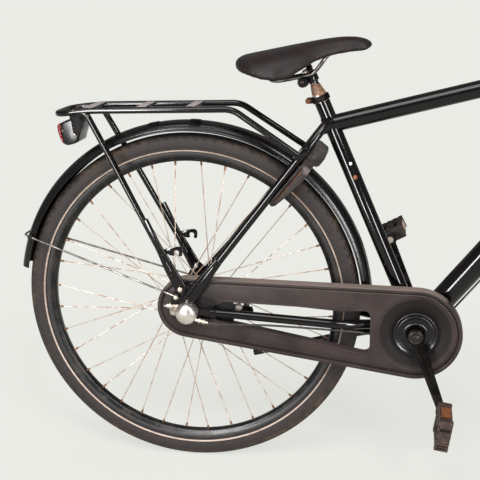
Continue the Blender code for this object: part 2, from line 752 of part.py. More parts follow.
def crank_cover():
    outer = 0.043
    hole = CRANK_BOSS_RADIUS + 0.0015
    profile = [(hole, -0.0640), (hole, -0.0660), (0.034, -0.0665), (0.038, -0.0675), (0.042, -0.0670),
               (outer, -0.0645), (outer, -0.0623), (0.030, -0.0623)]
    return lathe("crank_cover_disc", profile, at(CRANK_X, 0, CRANK_Z), (0, 1, 0), frame_paint(), 20)


def bearing_cup(name, side):
    inner = SPINDLE_RADIUS + RUNNING_GAP
    profile = [(inner, 0.015), (0.0172, 0.015), (0.0172, 0.0353), (0.020, 0.0353), (0.020, 0.0385),
               (inner, 0.0385)]
    return lathe(name, profile, at(CRANK_X, 0, CRANK_Z), (0, side, 0), hub_steel(), 16)


def crank_spindle():
    ends = [at(CRANK_X, y, CRANK_Z) for y in (-0.082, 0.074)]
    return origin_at(rod("crank_spindle", *ends, SPINDLE_RADIUS, hub_steel(), 12), at(CRANK_X, 0, CRANK_Z))


def crank(name, side, boss_inner, boss_outer):
    paint = frame_paint()
    end_x, end_z = crank_end(side)
    bore = SPINDLE_RADIUS + GAP
    profile = [(bore, boss_inner), (CRANK_BOSS_RADIUS, boss_inner), (CRANK_BOSS_RADIUS, boss_outer - 0.001),
               (0.013, boss_outer), (0, boss_outer), (0, boss_outer - 0.002), (bore, boss_outer - 0.002)]
    boss = lathe(name, profile, at(CRANK_X, 0, CRANK_Z), (0, side, 0), paint, 20)
    start = Vector((CRANK_X, CRANK_Z))
    along = (Vector((end_x, end_z)) - start).normalized()
    across = Vector((-along.y, along.x))
    loops = []
    for share, half, inner, outer in ((0.08, 0.0115, boss_outer - 0.014, boss_outer - 0.001),
                                      (0.45, 0.0095, boss_outer - 0.011, boss_outer + 0.003),
                                      (0.93, 0.0080, boss_outer - 0.004, boss_outer + 0.008)):
        middle = start + along * (CRANK_LENGTH * share)
        round_off = 0.003
        corners = [(-half, inner + round_off), (-half, outer - round_off),
                   (-half + round_off, outer), (half - round_off, outer),
                   (half, outer - round_off), (half, inner + round_off),
                   (half - round_off, inner), (-half + round_off, inner)]
        loops.append([at(middle.x + across.x * u, side * v, middle.y + across.y * u) for u, v in corners])
    arm = loft("arm", loops, paint)
    eye_ends = [at(end_x, side * y, end_z) for y in (boss_outer - 0.0045, boss_outer + 0.0085)]
    eye = rod("eye", *eye_ends, 0.0125, paint, 14)
    fuse(boss, arm, eye)
    spindle_room = rod("room", at(CRANK_X, side * (boss_inner - 0.01), CRANK_Z),
                       at(CRANK_X, side * (boss_outer - 0.002), CRANK_Z), bore, paint, 12)
    pedal_hole = rod("hole", at(end_x, side * (boss_outer - 0.01), end_z),
                     at(end_x, side * (boss_outer + 0.01), end_z), 0.0068 + GAP, paint, 12)
    cut(boss, spindle_room, pedal_hole)
    return origin_at(boss, at(CRANK_X, 0, CRANK_Z))


def pedal_axle(name, side, boss_outer):
    x, z = crank_end(side)
    start = boss_outer - 0.003
    collar = boss_outer + 0.009
    end = boss_outer + PEDAL_FAR - 0.006
    profile = [(0, start), (0.0068, start), (0.0068, collar), (0.008, collar), (0.008, collar + 0.004),
               (0.005, collar + 0.004), (0.005, end), (0, end)]
    return lathe(name, profile, at(x, 0, z), (0, side, 0), hub_steel(), 12)


def pedal_turn(side, tilt):
    x, z = crank_end(side)
    middle = at(x, 0, z)
    return Matrix.Translation(middle) @ Matrix.Rotation(-tilt, 4, "Y") @ Matrix.Translation(-middle)


def pedal_body(name, side, tilt, boss_outer):
    """Platform with an axle barrel, two end bars and two long bars that hold the reflectors."""
    paint = pedal_plastic()
    x, z = crank_end(side)
    turn = pedal_turn(side, tilt)
    near = boss_outer + PEDAL_NEAR
    far = boss_outer + PEDAL_FAR
    half_length = PEDAL_HALF_LENGTH
    half_height = PEDAL_HALF_HEIGHT
    def block(low, high):
        y_low, y_high = sorted((side * low[1], side * high[1]))
        corner = (x + low[0], y_low, z + low[2])
        return box("bar", corner, (x + high[0], y_high, z + high[2]), paint, turn)
    body = block((-half_length, near, -half_height), (half_length, near + 0.011, half_height))
    body.name = name
    far_bar = block((-half_length, far - 0.010, -half_height), (half_length, far, half_height))
    long_height = half_height - 0.0012
    long_end = half_length - 0.0008
    front_bar = block((long_end - 0.009, near + 0.005, -long_height), (long_end, far - 0.005, long_height))
    back_bar = block((-long_end, near + 0.005, -long_height), (-long_end + 0.009, far - 0.005, long_height))
    barrel = rod("barrel", at(x, side * (near + 0.003), z), at(x, side * (far - 0.003), z), 0.0105, paint, 12)
    fuse(body, far_bar, front_bar, back_bar, barrel)
    axle_room = rod("room", at(x, side * (near - 0.02), z), at(x, side * (far - 0.004), z),
                    0.005 + RUNNING_GAP, paint, 12)
    cut(body, axle_room)
    for end in (-1, 1):
        low = (half_length - 0.002, near + 0.024, -0.009)
        high = (half_length + 0.004, far - 0.024, 0.009)
        if end < 0:
            low, high = (-half_length - 0.004, low[1], low[2]), (-half_length + 0.002, high[1], high[2])
        cut(body, block(low, high))
    return origin_at(body, at(x, side * (near + 0.04), z))


def pedal_reflector(name, side, tilt, boss_outer, end):
    x, z = crank_end(side)
    near = boss_outer + PEDAL_NEAR
    far = boss_outer + PEDAL_FAR
    inner = PEDAL_HALF_LENGTH - 0.002 + GAP
    outer = PEDAL_HALF_LENGTH + 0.0005
    low_x, high_x = sorted((end * inner, end * outer))
    y_pair = sorted((side * (near + 0.0245), side * (far - 0.0245)))
    return box(name, (x + low_x, y_pair[0], z - 0.0086), (x + high_x, y_pair[1], z + 0.0086), amber(),
               pedal_turn(side, tilt))


# Mudguards and their stays


def mudguard(name, x, guard, ends, steps):
    """Arched strip; guard is its crown radius and how far its centre lies ahead of and over the axle."""
    paint = frame_paint()
    half = MUDGUARD_HALF_WIDTH
    outer = [(-0.012, -half), (-0.003, -half * 0.72), (0.0, 0.0), (-0.003, half * 0.72), (-0.012, half)]
    inner = [(-0.0125, half - 0.0013), (-0.0042, half * 0.68), (-0.0014, 0.0), (-0.0042, -half * 0.68),
             (-0.0125, -half + 0.0013)]
    loops = []
    for k in range(steps + 1):
        turn = math.radians(ends[0] + (ends[1] - ends[0]) * k / steps)
        loops.append([
            at(x + guard[1] + (guard[0] + lift) * math.cos(turn), y,
               AXLE_Z + guard[2] + (guard[0] + lift) * math.sin(turn))
            for lift, y in outer + inner
        ])
    return loft(name, loops, paint)


def guard_stay(name, x, guard, guard_turn, eye, eye_y, seat_y, lift, paint):
    """One bent wire over the guard, from the bolt at one wheel end to the bolt at the other."""
    turn = math.radians(guard_turn)
    across = MUDGUARD_HALF_WIDTH + 0.0035
    middle_x = x + guard[1]
    middle_z = AXLE_Z + guard[2]
    def on_guard(radius, y):
        return at(middle_x + radius * math.cos(turn), y, middle_z + radius * math.sin(turn))
    edge = guard[0] - 0.010
    above = guard[0] + lift
    right = [at(eye[0], -eye_y, eye[1]), on_guard(edge, -across), on_guard(above, -across * 0.86)]
    left = [on_guard(above, across * 0.86), on_guard(edge, across), at(eye[0], eye_y, eye[1])]
    wire = tube(name, rounded(right + left, 0.004, 1), 0.0019, paint, 6)
    for side in (-1, 1):
        ends = [at(eye[0], side * y, eye[1]) for y in (eye_y - 0.0015, eye_y + 0.0015)]
        bolt_ends = [at(eye[0], side * y, eye[1]) for y in (seat_y + GAP, eye_y + 0.0050)]
        knob_span = (MUDGUARD_HALF_WIDTH + GAP, across + 0.0045)
        knob_ends = [on_guard(edge, side * y) for y in knob_span]
        fuse(wire, rod("eye", *ends, 0.0055, paint, 10), rod("bolt", *bolt_ends, 0.0035, paint, 8),
             rod("knob", *knob_ends, 0.0048, paint, 8))
    return wire


# Carrier and rear lamp

RACK_TUBE = 0.0055
RACK_HALF = 0.0475
RACK_Z = 0.7125
RACK_FRONT_Y = 0.0582
RACK_STRAP_UNDER = 0.0030
RACK_STRAP_THICKNESS = 0.0035


def rack():
    paint = frame_paint()
    front = (0.2220, RACK_FRONT_Y, 0.6290)
    bend = (0.1020, RACK_HALF, RACK_Z)
    rear = (-0.2265, RACK_HALF, RACK_Z)
    near = [at(x, -y, z) for x, y, z in (front, bend, rear)]
    far = [at(*point) for point in (rear, bend, front)]
    body = tube("rack", rounded(near + far, 0.030, 3), RACK_TUBE, paint, 8)
    plates = []
    for x in (-0.205, -0.162, -0.068, 0.022):
        low = (x - 0.010, -RACK_HALF, RACK_Z + RACK_STRAP_UNDER)
        high = (x + 0.010, RACK_HALF, RACK_Z + RACK_STRAP_UNDER + RACK_STRAP_THICKNESS)
        plates.append(box("strap", low, high, paint))
    fuse(body, *plates)
    for side in (-1, 1):
        path = [at(-0.1720, side * (RACK_HALF + 0.0020), RACK_Z - 0.002),
                at(-0.1215, side * 0.057, 0.607), at(-0.0140, side * 0.0735, 0.388)]
        leg = tube("leg", path, RACK_TUBE, paint, 8)
        foot_outline = [(-0.018, 0.398), (-0.004, 0.404), (0.002, 0.378), (-0.003, 0.368), (-0.012, 0.369)]
        foot_inner = REAR_DROPOUT_Y + DROPOUT_THICKNESS + GAP
        foot = plate("foot", foot_outline, side * foot_inner, side * 0.0745, paint)
        hook_outline = [(-0.0480, 0.4560), (-0.0280, 0.4580), (-0.0190, 0.4630), (-0.0080, 0.4635),
                        (-0.0020, 0.4590), (0.0005, 0.4500), (-0.0055, 0.4435), (-0.0105, 0.4505),
                        (-0.0135, 0.4550), (-0.0185, 0.4445), (-0.0430, 0.4445)]
        hook = plate("hook", hook_outline, side * 0.0675, side * 0.0695, paint)
        bolt_ends = [at(-0.006, side * y, 0.377) for y in (0.0700, 0.0790)]
        bolt = rod("bolt", *bolt_ends, 0.0055, paint, 6)
        fuse(body, leg, foot, hook, bolt)
    return body


def lamp_housing():
    paint = lock_plastic()
    outline = [(-0.2335, 0.6860), (-0.2130, 0.6950), (-0.1900, 0.6970), (-0.1810, 0.6790),
               (-0.1880, 0.6710), (-0.1940, 0.6650), (-0.1990, 0.6530), (-0.2210, 0.6460),
               (-0.2285, 0.6480)]
    body = plate("rear_lamp_housing", outline, -0.027, 0.027, paint)
    neck = box("neck", (-0.2150, -0.016, 0.690), (-0.1920, 0.016, RACK_Z + RACK_STRAP_UNDER - GAP), paint)
    return fuse(body, neck)


def lamp_lens():
    outline = [(-0.2339, 0.6860), (-0.2289, 0.6482), (-0.2320, 0.6487), (-0.2375, 0.6680),
               (-0.2392, 0.6800), (-0.2380, 0.6855)]
    return plate("rear_lamp_lens", outline, -0.026, 0.026, red_lens())


# Seat


def seat_post():
    top = 0.7665
    start = at(seat_tube_x(0.585), 0, 0.585)
    reach = seat_axis().z
    length = [(z - 0.585) / reach for z in (0.733, 0.752, top)]
    profile = [(0, 0), (POST_RADIUS, 0), (POST_RADIUS, length[0]), (POST_NECK_RADIUS, length[1]),
               (POST_NECK_RADIUS, length[2]), (0, length[2])]
    return lathe("seat_post", profile, start, seat_axis(), rusty_steel(), 16)


def seat_collar():
    paint = frame_paint()
    start = at(seat_tube_x(SEAT_TUBE_TOP_Z), 0, SEAT_TUBE_TOP_Z) + seat_axis() * GAP
    inner = POST_RADIUS + GAP
    outer = 0.0172
    height = 0.0145
    profile = [(0, 0), (outer, 0), (outer, height), (0, height)]
    ring = lathe("seat_collar", profile, start, seat_axis(), paint, 18)
    ear = box("ear", (0.2310, -0.009, 0.7150), (0.2465, 0.009, 0.7285), paint)
    clear = rod("clear", start - seat_axis() * 0.03, start + seat_axis() * 0.05, inner, paint, 18)
    slit = box("slit", (0.2200, -0.0010, 0.7050), (0.2500, 0.0010, 0.7500), paint)
    fuse(ring, ear)
    cut(ring, clear, slit)
    bolt_x = 0.2370
    bolt_z = 0.7215
    bolt = rod("bolt", at(bolt_x, -0.0150, bolt_z), at(bolt_x, 0.0130, bolt_z), 0.0030, paint, 8)
    head = rod("head", at(bolt_x, -0.0160, bolt_z), at(bolt_x, -0.0080, bolt_z), 0.0055, paint, 6)
    return fuse(ring, bolt, head)


def saddle_clamp():
    """Steel clamp on the post's neck, with a serrated disc each side and the rails between."""
    paint = rusty_steel()
    middle = at(0.2290, 0, 0.7570)
    def across(name, low, high, radius, sides):
        ends = [middle + Vector((0, y, 0)) for y in (low, high)]
        return rod(name, *ends, radius, paint, sides)
    body = across("saddle_clamp", -0.0175, 0.0175, 0.0105, 14)
    neck = at(seat_tube_x(0.7600), 0, 0.7600)
    sleeve = rod("sleeve", neck - seat_axis() * 0.0045, neck + seat_axis() * 0.0105, 0.0115, paint, 16)
    fuse(body, sleeve, across("bolt", -0.0345, 0.0345, 0.0040, 8))
    for side in (-1, 1):
        fuse(body, across("disc", *sorted((side * 0.0262, side * 0.0310)), 0.0095, 14),
             across("nut", *sorted((side * 0.0300, side * 0.0352)), 0.0065, 6))
    post_ends = [neck - seat_axis() * 0.03, neck + seat_axis() * 0.03]
    return cut(body, rod("post", *post_ends, POST_NECK_RADIUS + GAP, paint, 16))


# Half of the rail wire: X, distance from the middle, height
SADDLE_RAIL = [(0.150, 0.034, 0.7828), (0.172, RAIL_Y, 0.7600), (0.184, RAIL_Y, 0.7590),
               (0.215, RAIL_Y, 0.7640), (0.248, RAIL_Y, 0.7710), (0.261, RAIL_Y, 0.7870),
               (0.271, 0.018, 0.8010), (0.293, 0.012, 0.8065)]


def saddle_rails():
    right = [at(x, -y, z) for x, y, z in SADDLE_RAIL]
    left = [at(x, y, z) for x, y, z in SADDLE_RAIL]
    nose = [at(0.312, -0.006, 0.8077), at(0.312, 0.006, 0.8077)]
    path = rounded(right + nose + list(reversed(left)), 0.008, 1)
    return tube("saddle_rails", path, RAIL_RADIUS, hub_steel(), 6)


# Each row: X, half width, crown height, skirt height, underside height
SADDLE_ROWS = [
    (0.1080, 0.030, 0.7935, 0.7865, 0.7895),
    (0.1160, 0.052, 0.7985, 0.7825, 0.7865),
    (0.1370, 0.070, 0.8060, 0.7730, 0.7865),
    (0.1700, 0.078, 0.8110, 0.7660, 0.7890),
    (0.2050, 0.071, 0.8160, 0.7700, 0.7930),
    (0.2400, 0.050, 0.8220, 0.7860, 0.7985),
    (0.2800, 0.030, 0.8310, 0.8020, 0.8105),
    (0.3200, 0.0235, 0.8325, 0.8100, 0.8125),
    (0.3450, 0.0190, 0.8270, 0.8125, 0.8145),
    (0.3540, 0.0100, 0.8215, 0.8140, 0.8155),
]


def saddle_loop(row):
    """Cross-section: domed top, rounded edge and a hollow underside."""
    x, half, crown, skirt, under = row
    drop = crown - skirt
    top = [(0.0, 0.0), (0.28, 0.02), (0.55, 0.09), (0.78, 0.24), (0.93, 0.50), (1.0, 0.80)]
    low = [(0.985, 0.97), (0.93, 1.0)]
    right = [(-half * u, crown - drop * v) for u, v in top + low]
    lip = max(skirt + 0.0010, under - 0.012)
    inside = [(-half * 0.90, lip), (-half * 0.80, under - 0.002), (0.0, under)]
    left = [(-y, z) for y, z in reversed(right[1:] + inside[:-1])]
    return [at(x, y, z) for y, z in right + inside + left]


def saddle():
    return loft("saddle_cushion", [saddle_loop(row) for row in SADDLE_ROWS], saddle_vinyl())


# Front end


def fork():
    paint = frame_paint()
    foot = 0.336
    race = 0.0220
    nut = HEAD_TUBE_TO + 0.0125 - foot
    top = 0.5560 - foot
    profile = [(0, 0), (0.020, 0), (0.020, race), (0.0155, race + 0.0045), (STEERER_RADIUS, race + 0.0045),
               (STEERER_RADIUS, nut), (0.0185, nut), (0.0185, nut + 0.016), (0.0150, nut + 0.020),
               (STEERER_RADIUS, nut + 0.020), (STEERER_RADIUS, top), (0, top)]
    body = lathe("fork", profile, steer(foot), steer_axis(), paint, 16)
    crown = tube("crown", [steer(0.343, 0, -0.047), steer(0.347, 0, -0.030), steer(0.347, 0, 0.030),
                           steer(0.343, 0, 0.047)], [0.0130, 0.0145, 0.0145, 0.0130], paint, 12)
    fuse(body, crown)
    for side in (-1, 1):
        places = [(0.350, 0.0, 0.0420), (0.150, 0.0, 0.0470), (0.095, 0.006, 0.0495), (0.050, 0.018, 0.0520),
                  (0.018, 0.033, 0.0535), (-0.004, 0.0445, 0.0540)]
        path = [steer(along, ahead, side * y) for along, ahead, y in places]
        blade = tube("blade", path, [0.0125, 0.0115, 0.0105, 0.0090, 0.0078, 0.0065], paint, 10)
        slot = AXLE_RADIUS + GAP
        shape = [(-0.011, 0.358), (-0.025, 0.346), (-0.012, 0.327), (-0.005, 0.319), (-slot, 0.319),
                 (-slot, AXLE_Z + slot), (slot, AXLE_Z + slot), (slot, 0.319), (0.011, 0.322),
                 (0.012, 0.338), (0.006, 0.356)]
        outline = [(WHEELBASE + x, z) for x, z in shape]
        end_outer = FRONT_DROPOUT_Y + FORK_END_THICKNESS
        end = plate("fork_end", outline, side * FRONT_DROPOUT_Y, side * end_outer, paint)
        fuse(body, blade, end)
    hole = rod("hole", steer(0.40), steer(0.60), QUILL_RADIUS + GAP, paint, 16)
    cut(body, hole)
    return origin_at(body, steer(0.0))


def headset_cup(name, start, profile):
    return lathe(name, profile, steer(start), steer_axis(), hub_steel(), 16)


def lower_cup():
    inner = STEERER_RADIUS + RUNNING_GAP
    return headset_cup("lower_headset_cup", 0.3632,
                       [(0.0160, 0.0), (0.0215, 0.0), (0.0215, 0.0120), (0.0160, 0.0120), (0.0160, 0.0240),
                        (inner, 0.0240), (inner, 0.0010)])


def upper_cup():
    inner = STEERER_RADIUS + RUNNING_GAP
    return headset_cup("upper_headset_cup", HEAD_TUBE_TO - 0.012,
                       [(inner, 0.0), (0.0160, 0.0), (0.0160, 0.0123), (0.0215, 0.0123), (0.0200, 0.0240),
                        (inner, 0.0240)])


def stem():
    paint = hub_steel()
    quill_top = 0.6600
    body = lathe("stem", [(0, 0), (QUILL_RADIUS, 0), (QUILL_RADIUS, quill_top - 0.490),
                          (0.0135, quill_top - 0.488), (0.0135, quill_top - 0.460), (0, quill_top - 0.455)],
                 steer(0.490), steer_axis(), paint, 16)
    reach = [steer(0.6720), at(BAR_CENTRE[0], 0, BAR_CENTRE[1])]
    arm = tube("arm", [reach[0], reach[1]], 0.0115, paint, 12)
    clamp = tube("clamp", [at(BAR_CENTRE[0], y, BAR_CENTRE[1]) for y in (-0.021, 0.021)], 0.0180, paint, 16)
    fuse(body, arm, clamp)
    hole_ends = [at(BAR_CENTRE[0], y, BAR_CENTRE[1]) for y in (-0.05, 0.05)]
    hole = tube("hole", hole_ends, BAR_RADIUS + 2 * GAP, paint, 16)
    return cut(body, hole)


def handlebar():
    half = [(BAR_CENTRE[0], 0.0, BAR_CENTRE[1]), (BAR_CENTRE[0], 0.050, BAR_CENTRE[1]),
            (WHEELBASE - 0.198, 0.105, 0.995), (WHEELBASE - 0.208, 0.165, 1.022), GRIP_START, GRIP_END]
    left = [at(*point) for point in half]
    right = [at(x, -y, z) for x, y, z in half]
    side_bends = [0.016, 0.035, 0.035, 0.025]
    path = rounded(list(reversed(right)) + left[1:], side_bends + [0.01] + side_bends[::-1], 3)
    return tube("handlebar", path, BAR_RADIUS, hub_steel(), 10)


def bar_end_line(side):
    start = at(GRIP_START[0], side * GRIP_START[1], GRIP_START[2])
    end = at(GRIP_END[0], side * GRIP_END[1], GRIP_END[2])
    return start, (end - start).normalized(), (end - start).length


def grip(name, side, begin):
    start, along, length = bar_end_line(side)
    inner = BAR_RADIUS + GAP
    end = length + 0.004
    profile = [(inner, begin), (0.0170, begin), (0.0155, begin + 0.006), (0.0155, end - 0.006),
               (0.0175, end - 0.003), (0.0165, end), (0, end), (0, length + GAP), (inner, length + GAP)]
    return lathe(name, profile, start, along, grip_rubber(), 14)


def twist_shifter():
    start, along, _ = bar_end_line(-1)
    inner = BAR_RADIUS + GAP
    profile = [(inner, 0.0340), (0.0205, 0.0340), (0.0205, 0.0420), (0.0180, 0.0440),
               (0.0175, 0.0640), (inner, 0.0640)]
    return origin_at(lathe("twist_shifter", profile, start, along, grip_rubber(), 16), start)


def shifter_housing():
    start, along, _ = bar_end_line(-1)
    inner = BAR_RADIUS + GAP
    profile = [(inner, 0.018), (0.0200, 0.018), (0.0210, 0.0210), (0.0210, 0.0336), (inner, 0.0336)]
    return lathe("shifter_housing", profile, start, along, grip_rubber(), 16)


def bell_base():
    """Clamp and foot of the bell, on the left of the bar."""
    paint = hub_steel()
    start = at(BAR_CENTRE[0], BELL_Y - 0.005, BAR_CENTRE[1])
    inner = BAR_RADIUS + 2 * GAP
    profile = [(inner, 0), (0.0145, 0), (0.0145, 0.010), (inner, 0.010)]
    ring = lathe("bell_clamp", profile, start, (0, 1, 0), paint, 14)
    post_ends = [at(BAR_CENTRE[0], BELL_Y, z) for z in (BAR_CENTRE[1] + 0.0130, 1.0010)]
    post = rod("post", *post_ends, 0.004, paint, 8)
    return fuse(ring, post)


def bell_dome():
    start = at(BAR_CENTRE[0], BELL_Y, 0.9900)
    profile = [(0.0045, 0.0115), (0.0045, 0.0170), (0.0150, 0.0160), (0.0240, 0.0090), (0.0262, 0.0),
               (0.0250, 0.0), (0.0228, 0.0082), (0.0140, 0.0145)]
    return lathe("bell_dome", profile, start, (0, 0, 1), chrome(), 18)


def front_lamp():
    paint = lock_plastic()
    start = steer(0.372, 0.068)
    profile = [(0, -0.032), (0.013, -0.030), (0.024, -0.016), (0.0275, 0.0), (0.0275, 0.010), (0, 0.010)]
    body = lathe("front_lamp", profile, start, (0.97, 0, -0.24), paint, 18)
    arm = tube("arm", [steer(0.3480, 0.0223), steer(0.3620, 0.050)], 0.0045, paint, 8)
    return fuse(body, arm)


# Stand

STAND_PIVOT = (0.3900, 0.0230, 0.2730)
STAND_FOOT = (0.1120, 0.0700, 0.1970)
STAND_FOOT_DOWN = (0.2800, 0.1280, 0.0230)
STAND_PIN_RADIUS = 0.003


def stand_axis():
    """Line that the leg turns about from its folded place to its place on the floor."""
    pivot = Vector(STAND_PIVOT)
    return (Vector(STAND_FOOT) - pivot).cross(Vector(STAND_FOOT_DOWN) - pivot).normalized()


def stand_bracket():
    paint = frame_paint()
    x, y, z = STAND_PIVOT
    body = box("kickstand_bracket", (0.3765, -0.0105, 0.2770), (0.4055, 0.0105, 0.2897), paint)
    ear = box("ear", (x - 0.012, -0.0040, z - 0.014), (x + 0.012, 0.0145, 0.2800), paint)
    bolt = rod("bolt", at(0.3985, -0.0065, 0.2560), at(0.3985, -0.0065, 0.2800), 0.0055, paint, 6)
    fuse(body, ear, bolt)
    pin_room = [at(x, y, z) + stand_axis() * along for along in (0.004, 0.021)]
    return cut(body, rod("pin_room", *pin_room, STAND_PIN_RADIUS + RUNNING_GAP, paint, 12))


def stand_leg():
    paint = frame_paint()
    pivot = at(*STAND_PIVOT)
    foot = at(*STAND_FOOT)
    bend = pivot + (foot - pivot) * 0.3 + Vector((0, 0.010, 0))
    path = rounded([pivot - (bend - pivot).normalized() * 0.003, bend, foot], 0.05, 3)
    leg = tube("kickstand_leg", path, 0.0075, paint, 10)
    along = (path[-1] - path[-2]).normalized()
    shoe = tube("shoe", [foot - along * 0.014, foot + along * 0.012], [0.0100, 0.0115], paint, 10)
    pin = rod("pin", pivot, pivot + stand_axis() * 0.0180, STAND_PIN_RADIUS, paint, 10)
    fuse(leg, shoe, pin)
    return origin_at(leg, pivot)


# Ring lock


def lock_turn():
    """Places the lock's own plane: local X is outwards from the axle, local Z across its thickness."""
    out = Vector((LOCK_OUT[0], 0, LOCK_OUT[1])).normalized()
    across = Vector((0, 1, 0))
    thick = out.cross(across)
    axes = Matrix((out, across, thick)).transposed().to_4x4()
    return Matrix.Translation(at(0, 0, AXLE_Z)) @ axes


def lock_solid(name, outline, low, high, paint):
    """Prism of an (outwards, y) outline, between two distances across the lock's thickness."""
    turn = lock_turn()
    loops = [[turn @ Vector((out, y, t)) for out, y in outline] for t in (low, high)]
    return loft(name, loops, paint)


def lock_arc(radius, low_degrees, high_degrees, steps):
    points = []
    for k in range(steps + 1):
        turn = math.radians(low_degrees + (high_degrees - low_degrees) * k / steps)
        points.append((LOCK_CENTRE + radius * math.cos(turn), radius * math.sin(turn)))
    return points


def ring_lock():
    paint = lock_plastic()
    front = -0.0105
    back = 0.0085
    outer_half = [(0.262, 0.046), (0.262, 0.058), (0.300, 0.0625), (0.352, 0.058), (0.378, 0.046),
                  (0.394, 0.036)]
    inner_half = [(0.272, 0.040), (0.330, 0.040), (0.3500, 0.030), (0.3592, 0.022)]
    outer = outer_half + [(out, -y) for out, y in reversed(outer_half)]
    inner = [(out, -y) for out, y in inner_half] + list(reversed(inner_half))
    body = lock_solid("ring_lock_body", outer + inner, front, back, paint)
    groove_in = lock_arc(LOCK_BOLT_CIRCLE - LOCK_BOLT_RADIUS - 0.0005, -140, 140, 20)
    groove_out = lock_arc(LOCK_BOLT_CIRCLE + LOCK_BOLT_RADIUS + 0.0005, -140, 140, 20)
    groove = lock_solid("groove", groove_in + list(reversed(groove_out)), -0.0050, 0.02, paint)
    cut(body, groove)
    for side in (-1, 1):
        lug = [(0.3000, side * 0.0410), (0.3200, side * 0.0410), (0.3200, side * 0.0595),
               (0.3000, side * 0.0595)]
        fuse(body, lock_solid("lug", lug, 0.0070, LOCK_LUG_TOP, paint))
    return body


def lock_bolt():
    turn = lock_turn()
    places = [turn @ Vector((out, y, 0.0)) for out, y in lock_arc(LOCK_BOLT_CIRCLE, -102, 38, 14)]
    bolt = tube("ring_lock_bolt", places, LOCK_BOLT_RADIUS, rusty_steel(), 8)
    return origin_at(bolt, turn @ Vector((LOCK_CENTRE, 0, 0)))


# Gear cable

CABLE_RADIUS = 0.0022


def gear_cable():
    """Cable from the hub, along the right chain stay, under the crank and up the down tube."""
    under = Vector((0.766, 0, -0.643))
    lift = DOWN_TUBE_RADIUS + CABLE_RADIUS + GAP
    start = at(0.460, -0.004, 0.3088) + under * lift
    end = at(WHEELBASE - 0.275, -0.004, 0.6364) + under * lift
    path = [at(0.0300, -0.0795, 0.3215), at(0.0740, -0.0790, 0.3140), at(0.110, -0.0725, 0.3060),
            at(0.160, -0.0640, 0.3020), at(0.230, -0.0545, 0.2945), at(0.300, -0.0420, 0.2885),
            at(0.350, -0.0320, 0.2830), at(0.395, -0.0300, 0.2680), at(0.432, -0.0150, 0.2640),
            at(0.460, -0.0080, 0.2700)]
    path += [start.lerp(end, k / 4) for k in range(5)]
    return tube("gear_cable", rounded(path, 0.02, 1), CABLE_RADIUS, cable_housing(), 6)


def cable_loop():
    """Outer cable from the down tube round the head tube to the shifter."""
    under = Vector((0.766, 0, -0.643))
    end = at(WHEELBASE - 0.275, -0.004, 0.6364) + under * (DOWN_TUBE_RADIUS + CABLE_RADIUS + GAP)
    start, along, _ = bar_end_line(-1)
    entry = start + along * 0.015
    places = [(-0.212, -0.037, 0.686), (-0.160, -0.075, 0.780), (-0.140, -0.110, 0.870),
              (-0.160, -0.165, 0.960), (-0.210, -0.205, 0.995)]
    path = [end + Vector((0.004, 0, 0.0045))]
    path += [at(WHEELBASE + x, y, z) for x, y, z in places]
    path.append(entry + Vector((0.014, 0.0065, -0.014)))
    return tube("gear_cable_loop", rounded(path, 0.05, 3), 0.0025, grip_rubber(), 6)


def build_wheels():
    lock_turn_degrees = math.degrees(math.atan2(LOCK_OUT[1], LOCK_OUT[0]))
    half_step = 180 / SPOKE_COUNT
    rim_and_spokes("rear_rim_and_spokes", 0, REAR_FLANGE_RADIUS, REAR_FLANGE_Y, lock_turn_degrees + half_step)
    tyre("rear_tyre", 0)
    rear_hub_shell()
    rear_axle()
    brake_arm()
    brake_arm_clip()
    chain_tensioner("chain_tensioner_right", -1)
    chain_tensioner("chain_tensioner_left", 1)
    gear_cover()
    rim_and_spokes("front_rim_and_spokes", WHEELBASE, FRONT_FLANGE_RADIUS, FRONT_FLANGE_Y, 0.0)
    tyre("front_tyre", WHEELBASE)
    front_hub_shell()
    front_axle()


def build_drive():
    chainring()
    rear_sprocket()
    chain()
    chain_case()
    chain_case_cap()
    crank_cover()
    bearing_cup("crank_bearing_cup_right", -1)
    bearing_cup("crank_bearing_cup_left", 1)
    crank_spindle()
    right_boss = (0.0460, 0.0850)
    left_boss = (0.0550, 0.0780)
    crank("crank_right", -1, *right_boss)
    crank("crank_left", 1, *left_boss)
    for name, side, boss, tilt in (("pedal_right", -1, right_boss[1], math.radians(80)),
                                   ("pedal_left", 1, left_boss[1], math.radians(26))):
        pedal_axle(name + "_axle", side, boss)
        pedal_body(name + "_body", side, tilt, boss)
        pedal_reflector(name + "_reflector", side, tilt, boss, 1)


def build_fittings():
    mudguard("rear_mudguard", 0, REAR_GUARD, REAR_GUARD_ENDS, 20)
    front_guard = mudguard("front_mudguard", WHEELBASE, FRONT_GUARD, FRONT_GUARD_ENDS, 16)
    rear_seat = REAR_DROPOUT_Y + DROPOUT_THICKNESS
    rear_eye = (-0.016, 0.361)
    guard_stay("rear_guard_stay", 0, REAR_GUARD, 158.0, rear_eye, 0.0725, rear_seat, 0.0026, hub_steel())
    front_seat = FRONT_DROPOUT_Y + FORK_END_THICKNESS
    front_eye = (WHEELBASE + 0.001, 0.350)
    front_stay = guard_stay("stay", WHEELBASE, FRONT_GUARD, 150.0, front_eye, 0.0700, front_seat, 0.0005,
                            frame_paint())
    fuse(front_guard, front_stay)
    rack()
    lamp_housing()
    lamp_lens()
    ring_lock()
    lock_bolt()
    stand_bracket()
    stand_leg()


def build_seat():
    seat_post()
    seat_collar()
    saddle_clamp()
    saddle_rails()
    saddle()


def build_front():
    fork()
    lower_cup()
    upper_cup()
    stem()
    handlebar()
    grip("grip_right", -1, 0.0645)
    grip("grip_left", 1, 0.0340)
    twist_shifter()
    shifter_housing()
    bell_base()
    bell_dome()
    front_lamp()
    gear_cable()
    cable_loop()


clear_scene()
frame()
build_wheels()
build_drive()
build_fittings()
build_seat()
build_front()
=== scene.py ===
import math

